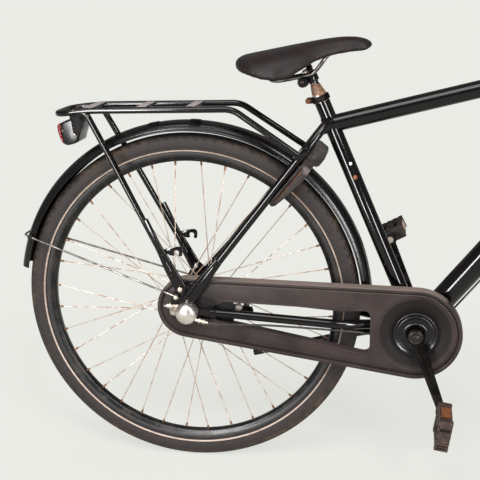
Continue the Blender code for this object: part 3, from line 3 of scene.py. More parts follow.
import bpy
from mathutils import Matrix, Vector


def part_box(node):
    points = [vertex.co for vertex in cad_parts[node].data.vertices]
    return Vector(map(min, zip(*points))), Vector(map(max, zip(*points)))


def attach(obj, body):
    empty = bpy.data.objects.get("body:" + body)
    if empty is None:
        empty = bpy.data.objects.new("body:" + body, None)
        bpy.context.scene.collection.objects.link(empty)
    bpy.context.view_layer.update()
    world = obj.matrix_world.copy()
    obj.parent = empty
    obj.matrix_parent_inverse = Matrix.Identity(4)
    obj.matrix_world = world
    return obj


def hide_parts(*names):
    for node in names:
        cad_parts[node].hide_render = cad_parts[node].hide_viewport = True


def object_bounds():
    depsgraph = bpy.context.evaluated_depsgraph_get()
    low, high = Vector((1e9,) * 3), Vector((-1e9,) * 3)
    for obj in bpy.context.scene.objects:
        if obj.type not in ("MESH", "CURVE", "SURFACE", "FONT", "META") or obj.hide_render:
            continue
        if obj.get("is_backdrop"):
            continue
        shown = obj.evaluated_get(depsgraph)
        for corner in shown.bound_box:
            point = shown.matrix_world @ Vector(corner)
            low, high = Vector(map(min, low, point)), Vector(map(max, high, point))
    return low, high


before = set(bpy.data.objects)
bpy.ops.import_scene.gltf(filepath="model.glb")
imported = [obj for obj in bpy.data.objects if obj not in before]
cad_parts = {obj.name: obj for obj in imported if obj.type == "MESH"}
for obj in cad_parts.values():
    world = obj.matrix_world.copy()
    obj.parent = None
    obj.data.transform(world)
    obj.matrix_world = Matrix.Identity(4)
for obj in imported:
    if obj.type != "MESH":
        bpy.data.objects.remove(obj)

# Camera and floor
# The photograph is taken from the bicycle's right, a little behind and above, and shows its rear half.
# The floor is one pale sheet under a soft sky and two broad lamps. Two tall ones only show in gloss.

cad_box = [list(corner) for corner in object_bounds()]
tyre_low, tyre_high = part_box("rear_tyre")
AXLE_X = (tyre_low[0] + tyre_high[0]) / 2
AXLE_Z = (tyre_low[2] + tyre_high[2]) / 2
FRONT_AXLE_X = sum(corner[0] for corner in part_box("front_tyre")) / 2


def spot(x, y, z):
    """Place measured forward from the rear axle, to the left of the middle, and up from the floor."""
    return Vector((AXLE_X + x, y, z))


camera = bpy.data.cameras.new("camera")
camera.sensor_width = 36
camera.lens = 75.16
camera.shift_x = -0.0581
camera.shift_y = 0.0831
eye = bpy.data.objects.new("camera", camera)
bpy.context.scene.collection.objects.link(eye)
yaw, pitch, roll = -0.1481, 0.2939, -0.0288
ahead = Vector((math.sin(yaw) * math.cos(pitch), math.cos(yaw) * math.cos(pitch), -math.sin(pitch)))
level = Vector((math.cos(yaw), -math.sin(yaw), 0))
above = level.cross(ahead)
right = math.cos(roll) * level + math.sin(roll) * above
up = math.cos(roll) * above - math.sin(roll) * level
turn = Matrix((right, up, -ahead)).transposed().to_4x4()
eye.matrix_world = Matrix.Translation(spot(0.4273, -1.8506, 0.9414)) @ turn
bpy.context.scene.camera = eye

bpy.context.scene.view_settings.view_transform = "Standard"


def linear(red, green, blue):
    """Colour as read from a picture, 0 to 255, turned into the shader's own values."""
    shares = [channel / 255 for channel in (red, green, blue)]
    return (*[s / 12.92 if s <= 0.04045 else ((s + 0.055) / 1.055) ** 2.4 for s in shares], 1.0)


sky = bpy.data.worlds.new("sky")
sky.use_nodes = True
sky.node_tree.nodes["Background"].inputs["Color"].default_value = (0.98, 0.99, 1.0, 1.0)
sky.node_tree.nodes["Background"].inputs["Strength"].default_value = 0.24
bpy.context.scene.world = sky


def sun(name, strength, spread, tilt):
    lamp = bpy.data.lights.new(name, "SUN")
    lamp.energy = strength
    lamp.angle = math.radians(spread)
    holder = bpy.data.objects.new(name, lamp)
    holder.rotation_euler = [math.radians(angle) for angle in tilt]
    bpy.context.scene.collection.objects.link(holder)


sun("broad", 1.85, 36, (34, -10, 0))
sun("side", 1.05, 14, (52, 0, 30))


def softbox(name, place, aim, width, height, power):
    """A tall lamp beside the camera, only for the bright line that gloss shows along each tube."""
    lamp = bpy.data.lights.new(name, "AREA")
    lamp.shape = "RECTANGLE"
    lamp.size = width
    lamp.size_y = height
    lamp.energy = power
    holder = bpy.data.objects.new(name, lamp)
    holder.visible_diffuse = False
    holder.matrix_world = Matrix.Translation(place) @ (place - aim).to_track_quat("Z",
        "Y").to_matrix().to_4x4()
    bpy.context.scene.collection.objects.link(holder)


softbox("left_box", spot(-0.78, -2.1, 0.95), spot(0.1, 0, 0.55), 0.4, 1.5, 76)
softbox("right_box", spot(1.75, -2.1, 0.8), spot(0.35, 0, 0.55), 0.36, 1.2, 54)


def deselect():
    bpy.ops.object.select_all(action="DESELECT")


class Wire:
    """One output socket in a material, on which arithmetic adds the nodes that do it."""

    def __init__(self, finish, socket):
        self.finish = finish
        self.socket = socket

    def math(self, operation, one, two=0.0):
        return self.finish.node("ShaderNodeMath", {"operation": operation}, {0: one, 1: two})

    def __add__(self, other):
        return self.math("ADD", self, other)

    __radd__ = __add__

    def __sub__(self, other):
        return self.math("SUBTRACT", self, other)

    def __rsub__(self, other):
        return self.math("SUBTRACT", other, self)

    def __mul__(self, other):
        return self.math("MULTIPLY", self, other)

    __rmul__ = __mul__

    def __pow__(self, other):
        return self.math("POWER", self, other)

    def __abs__(self):
        return self.math("ABSOLUTE", self)


class Finish:
    """A material, built from noise, masks and mixes over the piece's own coordinates."""

    def __init__(self, name, colour, roughness, metallic=0.0, **steady):
        self.material = bpy.data.materials.new(name)
        self.material.use_nodes = True
        self.material.diffuse_color = colour
        self.tree = self.material.node_tree
        self.shader = self.tree.nodes["Principled BSDF"]
        self.shader.inputs["Base Color"].default_value = colour
        self.shader.inputs["Roughness"].default_value = roughness
        self.shader.inputs["Metallic"].default_value = metallic
        for key, value in steady.items():
            self.shader.inputs[key.replace("_", " ")].default_value = value

    def node(self, kind, settings=(), sockets=(), out=0):
        made = self.tree.nodes.new(kind)
        for key, value in dict(settings).items():
            setattr(made, key, value)
        for key, value in dict(sockets).items():
            self.join(value, made.inputs[key])
        return Wire(self, made.outputs[out])

    def join(self, value, inlet):
        if isinstance(value, Wire):
            self.tree.links.new(value.socket, inlet)
        else:
            inlet.default_value = value

    def place(self, middle=(0, 0, 0), stretch=(1, 1, 1)):
        """Object coordinates, measured from a middle and stretched along the axes."""
        here = self.node("ShaderNodeTexCoord", out="Object")
        shift = [-m * s for m, s in zip(middle, stretch)]
        return self.node("ShaderNodeMapping", {}, {"Vector": here, "Location": shift, "Scale": stretch})

    def axes(self, vector):
        return [self.node("ShaderNodeSeparateXYZ", {}, {0: vector}, axis) for axis in range(3)]

    def noise(self, where, scale, detail=4.0, rough=0.55):
        return self.node("ShaderNodeTexNoise", {}, {"Vector": where, "Scale": scale, "Detail": detail,
            "Roughness": rough})

    def between(self, value, low, high):
        """0 below low and 1 above high, with a smooth step."""
        return self.node("ShaderNodeMapRange", {"interpolation_type": "SMOOTHSTEP"}, {"Value": value,
            "From Min": low, "From Max": high})

    def sine(self, value):
        return self.node("ShaderNodeMath", {"operation": "SINE"}, {0: value})

    def mix(self, share, one, two):
        return self.node("ShaderNodeMix", {"data_type": "RGBA"}, {0: share, 6: one, 7: two}, 2)

    def facing(self, axis=2):
        """How far a face looks up, or along another axis."""
        return self.axes(self.node("ShaderNodeNewGeometry", out="Normal"))[axis]

    def bump(self, height, depth):
        return self.node("ShaderNodeBump", {}, {"Height": height, "Distance": depth, "Strength": 1.0})

    def seen_as(self, colour, share):
        """Lets a share of what the camera and mirrors see be a plain colour, under the shadows."""
        rays = [self.node("ShaderNodeLightPath", out=f"Is {kind} Ray")
            for kind in ("Camera", "Glossy", "Transmission")]
        seen = self.node("ShaderNodeMath", {"operation": "MINIMUM"}, {0: rays[0] + rays[1] + rays[2], 1: 1.0})
        glow = self.node("ShaderNodeEmission", {}, {"Color": colour, "Strength": 1.0})
        both = self.node("ShaderNodeMixShader", {}, {0: seen * share, 2: glow})
        self.tree.links.new(self.shader.outputs[0], both.socket.node.inputs[1])
        self.tree.links.new(both.socket, self.tree.nodes["Material Output"].inputs["Surface"])

    def give(self, **channels):
        for key, value in channels.items():
            self.join(value, self.shader.inputs[key.replace("_", " ")])
        return self


FLOOR = linear(236, 237, 231)
floor_paint = Finish("floor_sheet", FLOOR, 0.95, Specular_IOR_Level=0.0)
grain = floor_paint.noise(floor_paint.place(), 3.0, 2.0)
floor_paint.give(Base_Color=floor_paint.mix(grain * 0.04, FLOOR, linear(230, 231, 225)))
floor_paint.seen_as(FLOOR, 0.8)
deselect()
bpy.ops.mesh.primitive_grid_add(x_subdivisions=4, y_subdivisions=4, size=600, location=(0, 0, -0.0005))
floor = bpy.context.object
floor.name = "floor"
floor.data.materials.append(floor_paint.material)
floor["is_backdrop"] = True


# Frame
# Steel tubes brazed together and painted gloss black. The paint has fine scratches, and dust on what
# faces up. Each tube, rear end and the stand's plate is a piece of its own.


def black_gloss(name, dust=0.35, chips=0.0, shine=0.1):
    paint = Finish(name, linear(14, 10, 11), shine, Specular_IOR_Level=0.34)
    here = paint.place()
    smudge = paint.between(paint.noise(here, 22.0, 5.0), 0.42, 0.78)
    specks = paint.between(paint.noise(here, 900.0, 2.0), 0.66, 0.74)
    facing = paint.facing()
    settled = paint.between(facing, 0.25, 1.0) * (smudge * 0.7 + 0.3) * dust
    colour = paint.mix(settled * 0.4, linear(14, 10, 11), linear(96, 82, 74))
    if chips:
        bare = paint.between(paint.noise(here, 130.0, 3.0), 0.7 - chips, 0.73 - chips)
        colour = paint.mix(bare, colour, linear(118, 92, 72))
    streak = paint.noise(paint.place(stretch=(1, 9, 3)), 160.0, 3.0)
    paint.give(Base_Color=colour, Roughness=smudge * 0.06 + settled * 0.22 + specks * 0.06 + shine,
        Normal=paint.bump(streak * 0.4 + paint.noise(here, 90.0, 2.0), 0.000012))
    return paint.material


def finish_node(name, material):
    """Gives a solid of the frame its finish."""
    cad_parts[name].material_slots[0].material = material


def activate(piece):
    """Makes a piece the only selected one, and the one that the tools work on."""
    deselect()
    piece.select_set(True)
    bpy.context.view_layer.objects.active = piece


def select_whole():
    bpy.ops.mesh.select_all(action="SELECT")


def opened(piece):
    """Opens a piece for editing with all of it selected."""
    activate(piece)
    bpy.ops.object.mode_set(mode="EDIT")
    select_whole()


def shut():
    bpy.ops.object.mode_set(mode="OBJECT")


def outlined(name, points, closed):
    """A chain of edges, drawn out point by point from one corner, and filled where it is closed."""
    deselect()
    bpy.ops.mesh.primitive_plane_add(size=0.001, location=points[0])
    made = bpy.context.object
    made.name = name
    bpy.ops.object.mode_set(mode="EDIT")
    bpy.ops.mesh.select_mode(type="VERT")
    select_whole()
    bpy.ops.mesh.merge(type="CENTER")
    chain = list(points) + ([points[0]] if closed else [])
    for one, two in zip(chain, chain[1:]):
        step = Vector(two) - Vector(one)
        bpy.ops.mesh.extrude_vertices_move(TRANSFORM_OT_translate={"value": step})
    select_whole()
    if closed:
        bpy.ops.mesh.remove_doubles(threshold=1e-7)
        select_whole()
        bpy.ops.mesh.edge_face_add()
    shut()
    return made


def finished(piece, material, body, *nodes, sharp=40, slot=None):
    """Merges, turns its faces out, smooths, places, colours and fixes a piece to its body."""
    activate(piece)
    bpy.ops.object.transform_apply(location=True, rotation=True, scale=True)
    bpy.ops.object.mode_set(mode="EDIT")
    select_whole()
    bpy.ops.mesh.remove_doubles(threshold=1e-6)
    select_whole()
    bpy.ops.mesh.normals_make_consistent(inside=False)
    shut()
    bpy.ops.object.shade_smooth_by_angle(angle=math.radians(sharp))
    piece.data.materials.clear()
    piece.data.materials.append(material)
    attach(piece, body)
    if nodes:
        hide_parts(*nodes)
    return piece


def turned(name, middle, axis, profile, steps, closed=True):
    """A piece turned on a lathe: its profile holds (radius, distance along the axis)."""
    axis = Vector(axis).normalized()
    out = Vector((0, 0, 1)) if abs(axis.z) < 0.9 else Vector((1, 0, 0))
    out = (out - axis * out.dot(axis)).normalized()
    middle = Vector(middle)
    ring = list(profile) + ([profile[0]] if closed else [])
    made = outlined(name, [middle + out * radius + axis * along for radius, along in ring], False)
    opened(made)
    bpy.ops.mesh.spin(steps=steps, angle=2 * math.pi, center=middle, axis=axis)
    select_whole()
    bpy.ops.mesh.remove_doubles(threshold=1e-6)
    shut()
    return made


def along_path(points):
    """How far along a path each of its points lies, from 0 to 1."""
    gone = [0.0]
    for one, two in zip(points, points[1:]):
        gone.append(gone[-1] + (two - one).length)
    return [length / gone[-1] for length in gone]


def bent_tube(name, points, radius, sides=16):
    """A round tube on a path: a drawn wire made thick, its ends capped. Radius may change along it."""
    points = [Vector(point) for point in points]
    wire = outlined(name, points, False)
    activate(wire)
    bpy.ops.object.convert(target="CURVE")
    line = bpy.context.object
    line.data.dimensions = "3D"
    line.data.fill_mode = "FULL"
    line.data.bevel_depth = 1.0
    line.data.bevel_resolution = sides // 2 - 2
    line.data.use_fill_caps = True
    knots = line.data.splines[0].points
    gone = along_path(points)
    steps = radius if isinstance(radius, list) else [(0.0, radius), (1.0, radius)]
    turned_round = (line.matrix_world @ knots[0].co.xyz - points[0]).length > 1e-5
    for k, knot in enumerate(knots):
        here = gone[-1 - k] if turned_round else gone[k]
        for (low, low_radius), (high, high_radius) in zip(steps, steps[1:]):
            if low <= here <= high:
                knot.radius = low_radius + (high_radius - low_radius) * (here - low) / (high - low)
    bpy.ops.object.convert(target="MESH")
    bpy.context.object.name = name
    return bpy.context.object


def modified(piece, kind, **settings):
    """Adds a modifier to a piece and applies it."""
    change = piece.modifiers.new(kind, kind)
    for key, value in settings.items():
        setattr(change, key, value)
    activate(piece)
    bpy.ops.object.modifier_apply(modifier=change.name)
    return piece


def edged(piece, width, segments=3, sharp=32):
    """Rounds off the sharp edges of a piece."""
    return modified(piece, "BEVEL", width=width, segments=segments, limit_method="ANGLE",
        angle_limit=math.radians(sharp))


def extruded(name, points, step):
    """A flat outline, filled and drawn out by a step."""
    made = outlined(name, points, True)
    opened(made)
    bpy.ops.mesh.extrude_region_move(TRANSFORM_OT_translate={"value": step})
    select_whole()
    bpy.ops.mesh.normals_make_consistent(inside=False)
    shut()
    return made


def slab(name, outline, y_from, y_to):
    """An outline in X and Z, made thick between two distances from the middle."""
    return extruded(name, [spot(x, y_from, z) for x, z in outline], (0, y_to - y_from, 0))


def combined(piece, other, operation):
    modified(piece, "BOOLEAN", operation=operation, solver="EXACT", object=other)
    bpy.data.objects.remove(other, do_unlink=True)
    return piece


def rounded(points, bends, steps=6):
    """A path with each inner corner replaced by a bend."""
    points = [Vector(point) for point in points]
    bends = bends if isinstance(bends, (list, tuple)) else [bends] * (len(points) - 2)
    path = [points[0]]
    for before, corner, after, bend in zip(points, points[1:], points[2:], bends):
        come, leave = (before - corner).normalized(), (after - corner).normalized()
        reach = min(bend, 0.45 * (before - corner).length, 0.45 * (after - corner).length)
        for k in range(steps + 1):
            t = k / steps
            path.append((corner + come * reach * (1 - t)).lerp(corner + leave * reach * t, t))
    return path + [points[-1]]


def copied(piece, matrix):
    twin = piece.copy()
    twin.data = piece.data.copy()
    twin.data.transform(matrix)
    bpy.context.scene.collection.objects.link(twin)
    return twin


def between_points(start, end):
    """Matrix that lays a piece made along Z, from 0 up, on the line from start to end."""
    along = (end - start).normalized()
    side = along.orthogonal().normalized()
    return Matrix.Translation(start) @ Matrix((side, along.cross(side), along)).transposed().to_4x4()


SEAT_TOP_X, SEAT_TOP_Z = 0.26905, 0.7
SEAT_LEAN = 0.4095  # how far forward the seat tube goes for each metre down


def seat_tube(z, y=0.0):
    """Point on the seat tube's own line, at a height."""
    return spot(SEAT_TOP_X + SEAT_LEAN * (SEAT_TOP_Z - z), y, z)


def stay_line(share, y):
    """Point on the line of the seat stays, from the seat tube (0) to the rear end (1)."""
    return spot(0.27 * (1 - share), y, 0.68 - 0.333 * share)


FRAME_PAINT = black_gloss("frame_paint", 0.3, -0.02)
upward = (seat_tube(1.0) - seat_tube(0.5)).normalized()
length = (seat_tube(0.7195) - seat_tube(0.292)).length
tube = turned("seat_tube", seat_tube(0.292), upward, [(0.0, 0.0), (0.0145, 0.0), (0.0145, length - 0.0008),
    (0.014, length), (0.0, length)], 40, False)
finished(tube, FRAME_PAINT, "frame", "frame", slot="gloss_black_paint")
head_low, head_high = spot(0.82182, 0, 0.68257), spot(0.76946, 0, 0.81897)
tubes = [bent_tube("top_tube", [spot(0.2622, 0, 0.6742), spot(0.78, 0, 0.791)], 0.016, 32),
    bent_tube("down_tube", [spot(0.4375, 0, 0.282), spot(0.474, 0, 0.3254), spot(0.74, 0, 0.6423),
    spot(0.8068, 0, 0.7218)], [(0.0, 0.0205), (0.14, 0.025), (0.8, 0.025), (1.0, 0.02)], 40),
    bent_tube("crank_shell", [spot(0.4375, -0.035, 0.292), spot(0.4375, 0.035, 0.292)], 0.0225, 40),
    bent_tube("stay_bridge", [stay_line(0.15, -0.0425), stay_line(0.15, 0.0425)], 0.005, 16),]
for side in (-1, 1):
    path = rounded([spot(0.277, side * 0.01, 0.686), stay_line(0.0, side * 0.021),
        stay_line(0.05, side * 0.034), stay_line(0.12, side * 0.0425), stay_line(0.85, side * 0.0695),
        stay_line(0.965, side * 0.0705)], 0.012, 3)
    tubes.append(bent_tube("seat_stay", path, [(0.0, 0.008), (0.72, 0.0084), (0.86, 0.008), (1.0, 0.006)],
        24))
    path = rounded([spot(0.048, side * 0.063, 0.3275), spot(0.11, side * 0.0575, 0.321),
        spot(0.296, side * 0.052, 0.304), spot(0.352, side * 0.029, 0.299), spot(0.43, side * 0.0195, 0.29)],
        [0.02, 0.03, 0.02], 6)
    tubes.append(bent_tube("chain_stay", path, [(0.0, 0.0072), (0.16, 0.0086), (1.0, 0.0092)], 24))
for piece in tubes:
    finished(piece, FRAME_PAINT, "frame", slot="gloss_black_paint")


def stay_end(side):
    """The pressed lower end of a seat stay: flat, and wider towards the axle."""
    along = Vector((-0.27, 0, -0.333)).normalized()
    across = Vector((along.z, 0, -along.x))
    widths = ((0.74, 0.0078), (0.8, 0.0094), (0.88, 0.0118), (0.95, 0.0128), (0.995, 0.012))
    edge = [(stay_line(share, 0), half) for share, half in widths]
    outline = [middle + across * half for middle, half in edge] + [middle - across * half
        for middle, half in edge[::-1]]
    blade = slab("stay_end", [(point.x - AXLE_X, point.z) for point in outline], side * 0.0648, side * 0.0748)
    return edged(blade, 0.0036, 4)


def dropout(side):
    outline = [(-0.026, 0.3375), (-0.027, 0.358), (-0.02, 0.371), (-0.012, 0.386), (0.002, 0.392),
        (0.0175, 0.378), (0.013, 0.358), (0.017, 0.344), (0.03, 0.3385), (0.056, 0.337), (0.06, 0.333),
        (0.06, 0.32), (0.056, 0.3165), (0.03, 0.311), (-0.02, 0.314), (-0.026, 0.3265), (0.0053, 0.3265),
        (0.0053, 0.3375)]
    plate = slab("dropout", outline, side * 0.0635, side * 0.0685)
    return edged(plate, 0.0012, 2)


for side in (-1, 1):
    finished(stay_end(side), FRAME_PAINT, "frame", slot="gloss_black_paint")
    finished(dropout(side), FRAME_PAINT, "frame", slot="gloss_black_paint")
head = turned("head_tube", head_low, head_high - head_low, [(0.0168, 0.0), (0.0212, 0.0), (0.0214, 0.003),
    (0.0208, 0.006), (0.0208, 0.1401), (0.0214, 0.1431), (0.0212, 0.1461), (0.0168, 0.1461)], 40)
finished(head, FRAME_PAINT, "frame", slot="gloss_black_paint")
plate = slab("stand_plate", [(0.378, 0.29), (0.404, 0.29), (0.404, 0.298), (0.378, 0.298)], -0.026, 0.026)
finished(edged(plate, 0.001, 2), FRAME_PAINT, "frame", slot="gloss_black_paint")


def small_stud(name, z, turn, radius, rise, material):
    """A round stud on the seat tube, at a height and a turn about the tube from straight ahead."""
    ahead, aside = Vector((upward.z, 0, -upward.x)), Vector((0, -1, 0))
    out = ahead * math.cos(math.radians(turn)) + aside * math.sin(math.radians(turn))
    stud = turned(name, seat_tube(z), out, [(0.0, 0.013), (radius, 0.013), (radius, 0.0145 + rise * 0.6),
        (radius * 0.8, 0.0145 + rise), (radius * 0.35, 0.0145 + rise), (radius * 0.3, 0.0145 + rise * 0.5),
        (0.0, 0.0145 + rise * 0.5)], 24, False)
    finished(stud, material, "frame", slot="gloss_black_paint")


finish_node("brake_reaction_arm", FRAME_PAINT)


# Tyres
# Black rubber, 37 mm wide, with a rounded tread, a pale reflecting line on each side wall, and road
# dust that has dried brown on the tread. The cuts and groove of the tread are painted a darker brown as
# painted shade. The maker's words are left off.


def wheel_place(finish, axle_x):
    """Radius from the axle, distance from the wheel's plane, and turn about the axle."""
    here = finish.place((axle_x, 0, AXLE_Z))
    x, y, z = finish.axes(here)
    radius = (x * x + z * z) ** 0.5
    return here, radius, abs(y), finish.node("ShaderNodeMath", {"operation": "ARCTAN2"}, {0: z, 1: x})


def tyre_finish(name, axle_x):
    rubber = Finish(name, linear(70, 61, 58), 0.75, Specular_IOR_Level=0.25)
    here, radius, aside, around = wheel_place(rubber, axle_x)
    mottle = rubber.noise(here, 34.0, 6.0, 0.6)
    fine = rubber.noise(here, 260.0, 5.0, 0.6)
    tread = rubber.between(radius, 0.3165, 0.3235)
    line = rubber.between(radius, 0.2982, 0.2988) * (1 - rubber.between(radius, 0.301, 0.3016))
    rows = rubber.sine(around * 110.0 + aside * 420.0)
    cuts = rubber.between(rows, 0.62, 0.86) * rubber.between(aside, 0.0055, 0.007)
    cuts = cuts * (1 - rubber.between(aside, 0.015, 0.017)) * tread
    groove = rubber.between(aside, 0.0032, 0.0036) * (1 - rubber.between(aside, 0.0048, 0.0052)) * tread
    mud = rubber.between(mottle, 0.47, 0.68) * (tread * 0.75 + 0.12) + rubber.between(fine, 0.62, 0.75) * 0.25
    colour = rubber.mix(rubber.between(fine, 0.3, 0.7), linear(48, 41, 40), linear(62, 53, 51))
    colour = rubber.mix(tread * 0.45, colour, linear(66, 58, 55))
    colour = rubber.mix(mud, colour, linear(104, 84, 66))
    # Painted shade: the tread's cuts and groove are painted a darker brown.
    colour = rubber.mix(cuts * 0.45 + groove * 0.4, colour, linear(52, 42, 36))
    stripe = rubber.mix(rubber.between(mottle, 0.35, 0.75), linear(236, 214, 200), linear(196, 166, 148))
    colour = rubber.mix(line * 0.92, colour, stripe)
    ribs = rubber.between(abs(radius - 0.3068), 0.0003, 0.0006)
    height = fine * 0.12 + ribs * 0.25 - cuts * 1.2 - groove * 1.2 + mottle * 0.1
    rubber.give(Base_Color=colour, Roughness=mud * 0.25 + fine * 0.15 + 0.58,
        Normal=rubber.bump(height, 0.0011))
    return rubber.material


TYRE_HALF = [(0.3319, 0.003), (0.3312, 0.007), (0.3293, 0.0108), (0.3264, 0.014), (0.3225, 0.0163),
    (0.318, 0.0178), (0.313, 0.0183), (0.3085, 0.0181), (0.305, 0.0174), (0.303, 0.0168), (0.3024, 0.0169),
    (0.2976, 0.015), (0.2972, 0.0145), (0.2962, 0.0122), (0.2958, 0.0098), (0.2975, 0.008), (0.304, 0.012),
    (0.313, 0.014), (0.323, 0.012), (0.327, 0.006)]


def mirrored(half):
    """The other side of a section, given as (size, distance from the middle), in reverse."""
    return [(size, -aside) for size, aside in reversed(half)]


def make_tyre(name, axle_x, body):
    profile = [(0.332, 0.0)] + TYRE_HALF + [(0.328, 0.0)] + mirrored(TYRE_HALF)
    tyre = turned(name + "_rubber", (axle_x, 0, AXLE_Z), (0, 1, 0), profile, 144)
    finished(tyre, tyre_finish(name + "_finish", axle_x), body, name, slot="tyre_rubber")


make_tyre("rear_tyre", AXLE_X, "rear_wheel")
make_tyre("front_tyre", FRONT_AXLE_X, "front_wheel")


# Rims
# Deep aluminium rims, painted black. The side wall under the tyre is a little greyer from brushing
# dust, and the inner face is darker.


def rim_finish(name, axle_x):
    paint = Finish(name, linear(24, 24, 26), 0.25, Specular_IOR_Level=0.3)
    here, radius, aside, around = wheel_place(paint, axle_x)
    wall = paint.between(radius, 0.2865, 0.2895)
    dust = paint.between(paint.noise(here, 46.0, 6.0, 0.6), 0.42, 0.72)
    brushed = paint.noise(paint.node("ShaderNodeCombineXYZ", {},
        {0: radius * 900.0, 1: around * 3.0, 2: 0.0}), 2.0)
    colour = paint.mix(wall * 0.8, linear(14, 14, 16), linear(50, 47, 48))
    colour = paint.mix(dust * 0.22, colour, linear(104, 88, 76))
    paint.give(Base_Color=colour, Roughness=wall * 0.14 + dust * 0.15 + brushed * 0.06 + 0.24,
        Normal=paint.bump(brushed, 0.00001))
    return paint.material


RIM_HALF = [(0.2785, 0.0042), (0.2796, 0.0074), (0.2822, 0.0092), (0.2852, 0.0101), (0.2872, 0.0118),
    (0.2985, 0.0133), (0.2996, 0.0128), (0.2994, 0.0112), (0.2935, 0.009), (0.2915, 0.006)]


def make_rim(name, axle_x, body):
    rim = turned(name, (axle_x, 0, AXLE_Z), (0, 1, 0), RIM_HALF + mirrored(RIM_HALF), 144)
    finished(rim, rim_finish(name + "_paint", axle_x), body, slot="rim_paint")


make_rim("rear_rim", AXLE_X, "rear_wheel")
make_rim("front_rim", FRONT_AXLE_X, "front_wheel")


# Spokes
# 36 steel wires in each wheel, crossed three times, dull and browned by rust. Each has a hooked head
# in the hub's flange and a brown nipple in the rim.


def rusty_wire():
    steel = Finish("spoke_steel", linear(206, 188, 172), 0.45, 0.4)
    here = steel.place()
    rust = steel.between(steel.noise(here, 60.0, 5.0, 0.65), 0.42, 0.66)
    colour = steel.mix(rust, linear(214, 198, 184), linear(176, 136, 108))
    steel.give(Base_Color=colour, Roughness=rust * 0.3 + 0.4, Metallic=0.45 - rust * 0.35,
        Normal=steel.bump(steel.noise(here, 900.0, 3.0), 0.0001))
    return steel.material


def nipple_brass():
    brass = Finish("nipple_brass", linear(122, 86, 60), 0.5, 0.5)
    grime = brass.between(brass.noise(brass.place(), 240.0, 4.0), 0.4, 0.7)
    brass.give(Base_Color=brass.mix(grime, linear(134, 96, 66), linear(84, 58, 42)),
        Roughness=grime * 0.3 + 0.4)
    return brass.material


SPOKE_STEEL = rusty_wire()
NIPPLE_BRASS = nipple_brass()


def pick(piece, wanted):
    """Opens a piece for editing with only the wanted faces selected."""
    activate(piece)
    bpy.ops.object.mode_set(mode="EDIT")
    bpy.ops.mesh.select_mode(type="FACE")
    bpy.ops.mesh.select_all(action="DESELECT")
    shut()
    for face in piece.data.polygons:
        face.select = wanted(face)
    bpy.ops.object.mode_set(mode="EDIT")


def rod_piece(name, radius, length, sides):
    """A rod along Z with both ends rounded off by a smaller face."""
    deselect()
    bpy.ops.mesh.primitive_cylinder_add(vertices=sides, radius=radius, depth=length,
        location=(0, 0, length / 2))
    rod = bpy.context.object
    rod.name = name
    bpy.ops.object.transform_apply(location=True)
    pick(rod, lambda face: abs(face.normal.z) > 0.9)
    bpy.ops.mesh.bevel(offset=radius * 0.3, segments=1, affect="EDGES")
    shut()
    return rod


def joined(name, parts):
    deselect()
    for part in parts:
        part.select_set(True)
    bpy.context.view_layer.objects.active = parts[0]
    if len(parts) > 1:
        bpy.ops.object.join()
    parts[0].name = name
    return parts[0]


SPOKE_COUNT, CROSSING = 36, 60  # wires in a wheel, and the turn in degrees that each makes from hub to rim
NIPPLE_SEAT = 0.2805


def make_spokes(name, axle_x, flange, flange_y, first, body, node):
    lines = []
    for j in range(SPOKE_COUNT):
        side = 1 if j % 2 else -1
        lead = 1 if (j // 2) % 2 else -1
        rim_turn = math.radians(first + j * 360 / SPOKE_COUNT)
        hub_turn = rim_turn - lead * math.radians(CROSSING)
        inner = Vector((axle_x + flange * math.cos(hub_turn), side * (flange_y + lead * 0.0028),
            AXLE_Z + flange * math.sin(hub_turn)))
        outer = Vector((axle_x + NIPPLE_SEAT * math.cos(rim_turn), side * 0.0022,
            AXLE_Z + NIPPLE_SEAT * math.sin(rim_turn)))
        lines.append((inner, outer, side))
    length = (lines[0][1] - lines[0][0]).length
    wire = rod_piece("wire", 0.00095, length, 8)
    nipple = rod_piece("nipple", 0.0021, 0.013, 8)
    head = rod_piece("head", 0.0019, 0.0022, 8)
    wires, nipples = [], []
    for inner, outer, side in lines:
        wires.append(copied(wire, between_points(inner, outer)))
        wires.append(copied(head, between_points(inner - Vector((0, 0.0011, 0)), inner + Vector((0, 1, 0)))))
        nipples.append(copied(nipple, between_points(outer + (inner - outer).normalized() * 0.01, outer)))
    for spare in (wire, nipple, head):
        bpy.data.objects.remove(spare)
    finished(joined(name + "_wires", wires), SPOKE_STEEL, body, node, slot="hub_steel")
    finished(joined(name + "_nipples", nipples), NIPPLE_BRASS, body, slot="hub_steel")


LOCK_AHEAD, LOCK_RISE = 0.655, 0.7556  # direction from the axle to the ring lock, which spokes stay clear of
LOCK_ANGLE = math.degrees(math.atan2(LOCK_RISE, LOCK_AHEAD))
make_spokes("rear_spoke", AXLE_X, 0.0325, 0.03, LOCK_ANGLE + 5, "rear_wheel", "rear_rim_and_spokes")
make_spokes("front_spoke", FRONT_AXLE_X, 0.0205, 0.033, 0.0, "front_wheel", "front_rim_and_spokes")


# Mudguards
# Steel strip rolled to a shallow arch with a rolled edge, painted black. They stand 20 mm off the
# tyre, and the rear one carries two black clips.


def rolled(name, axle_x, guard, ends, half, steps):
    """A section of (rise, distance from the middle), rolled between two angles about a guard's centre."""
    radius, ahead, lift = guard
    start, end = [math.radians(angle) for angle in ends]
    middle = Vector((axle_x + ahead, 0, AXLE_Z + lift))
    out = Vector((math.cos(start), 0, math.sin(start)))
    section = half + mirrored(half[1:-1])
    made = outlined(name, [middle + out * (radius + rise) + Vector((0, y, 0)) for rise, y in section], True)
    opened(made)
    bpy.ops.mesh.spin(steps=steps, angle=end - start, center=middle, axis=(0, 1, 0))
    shut()
    return made


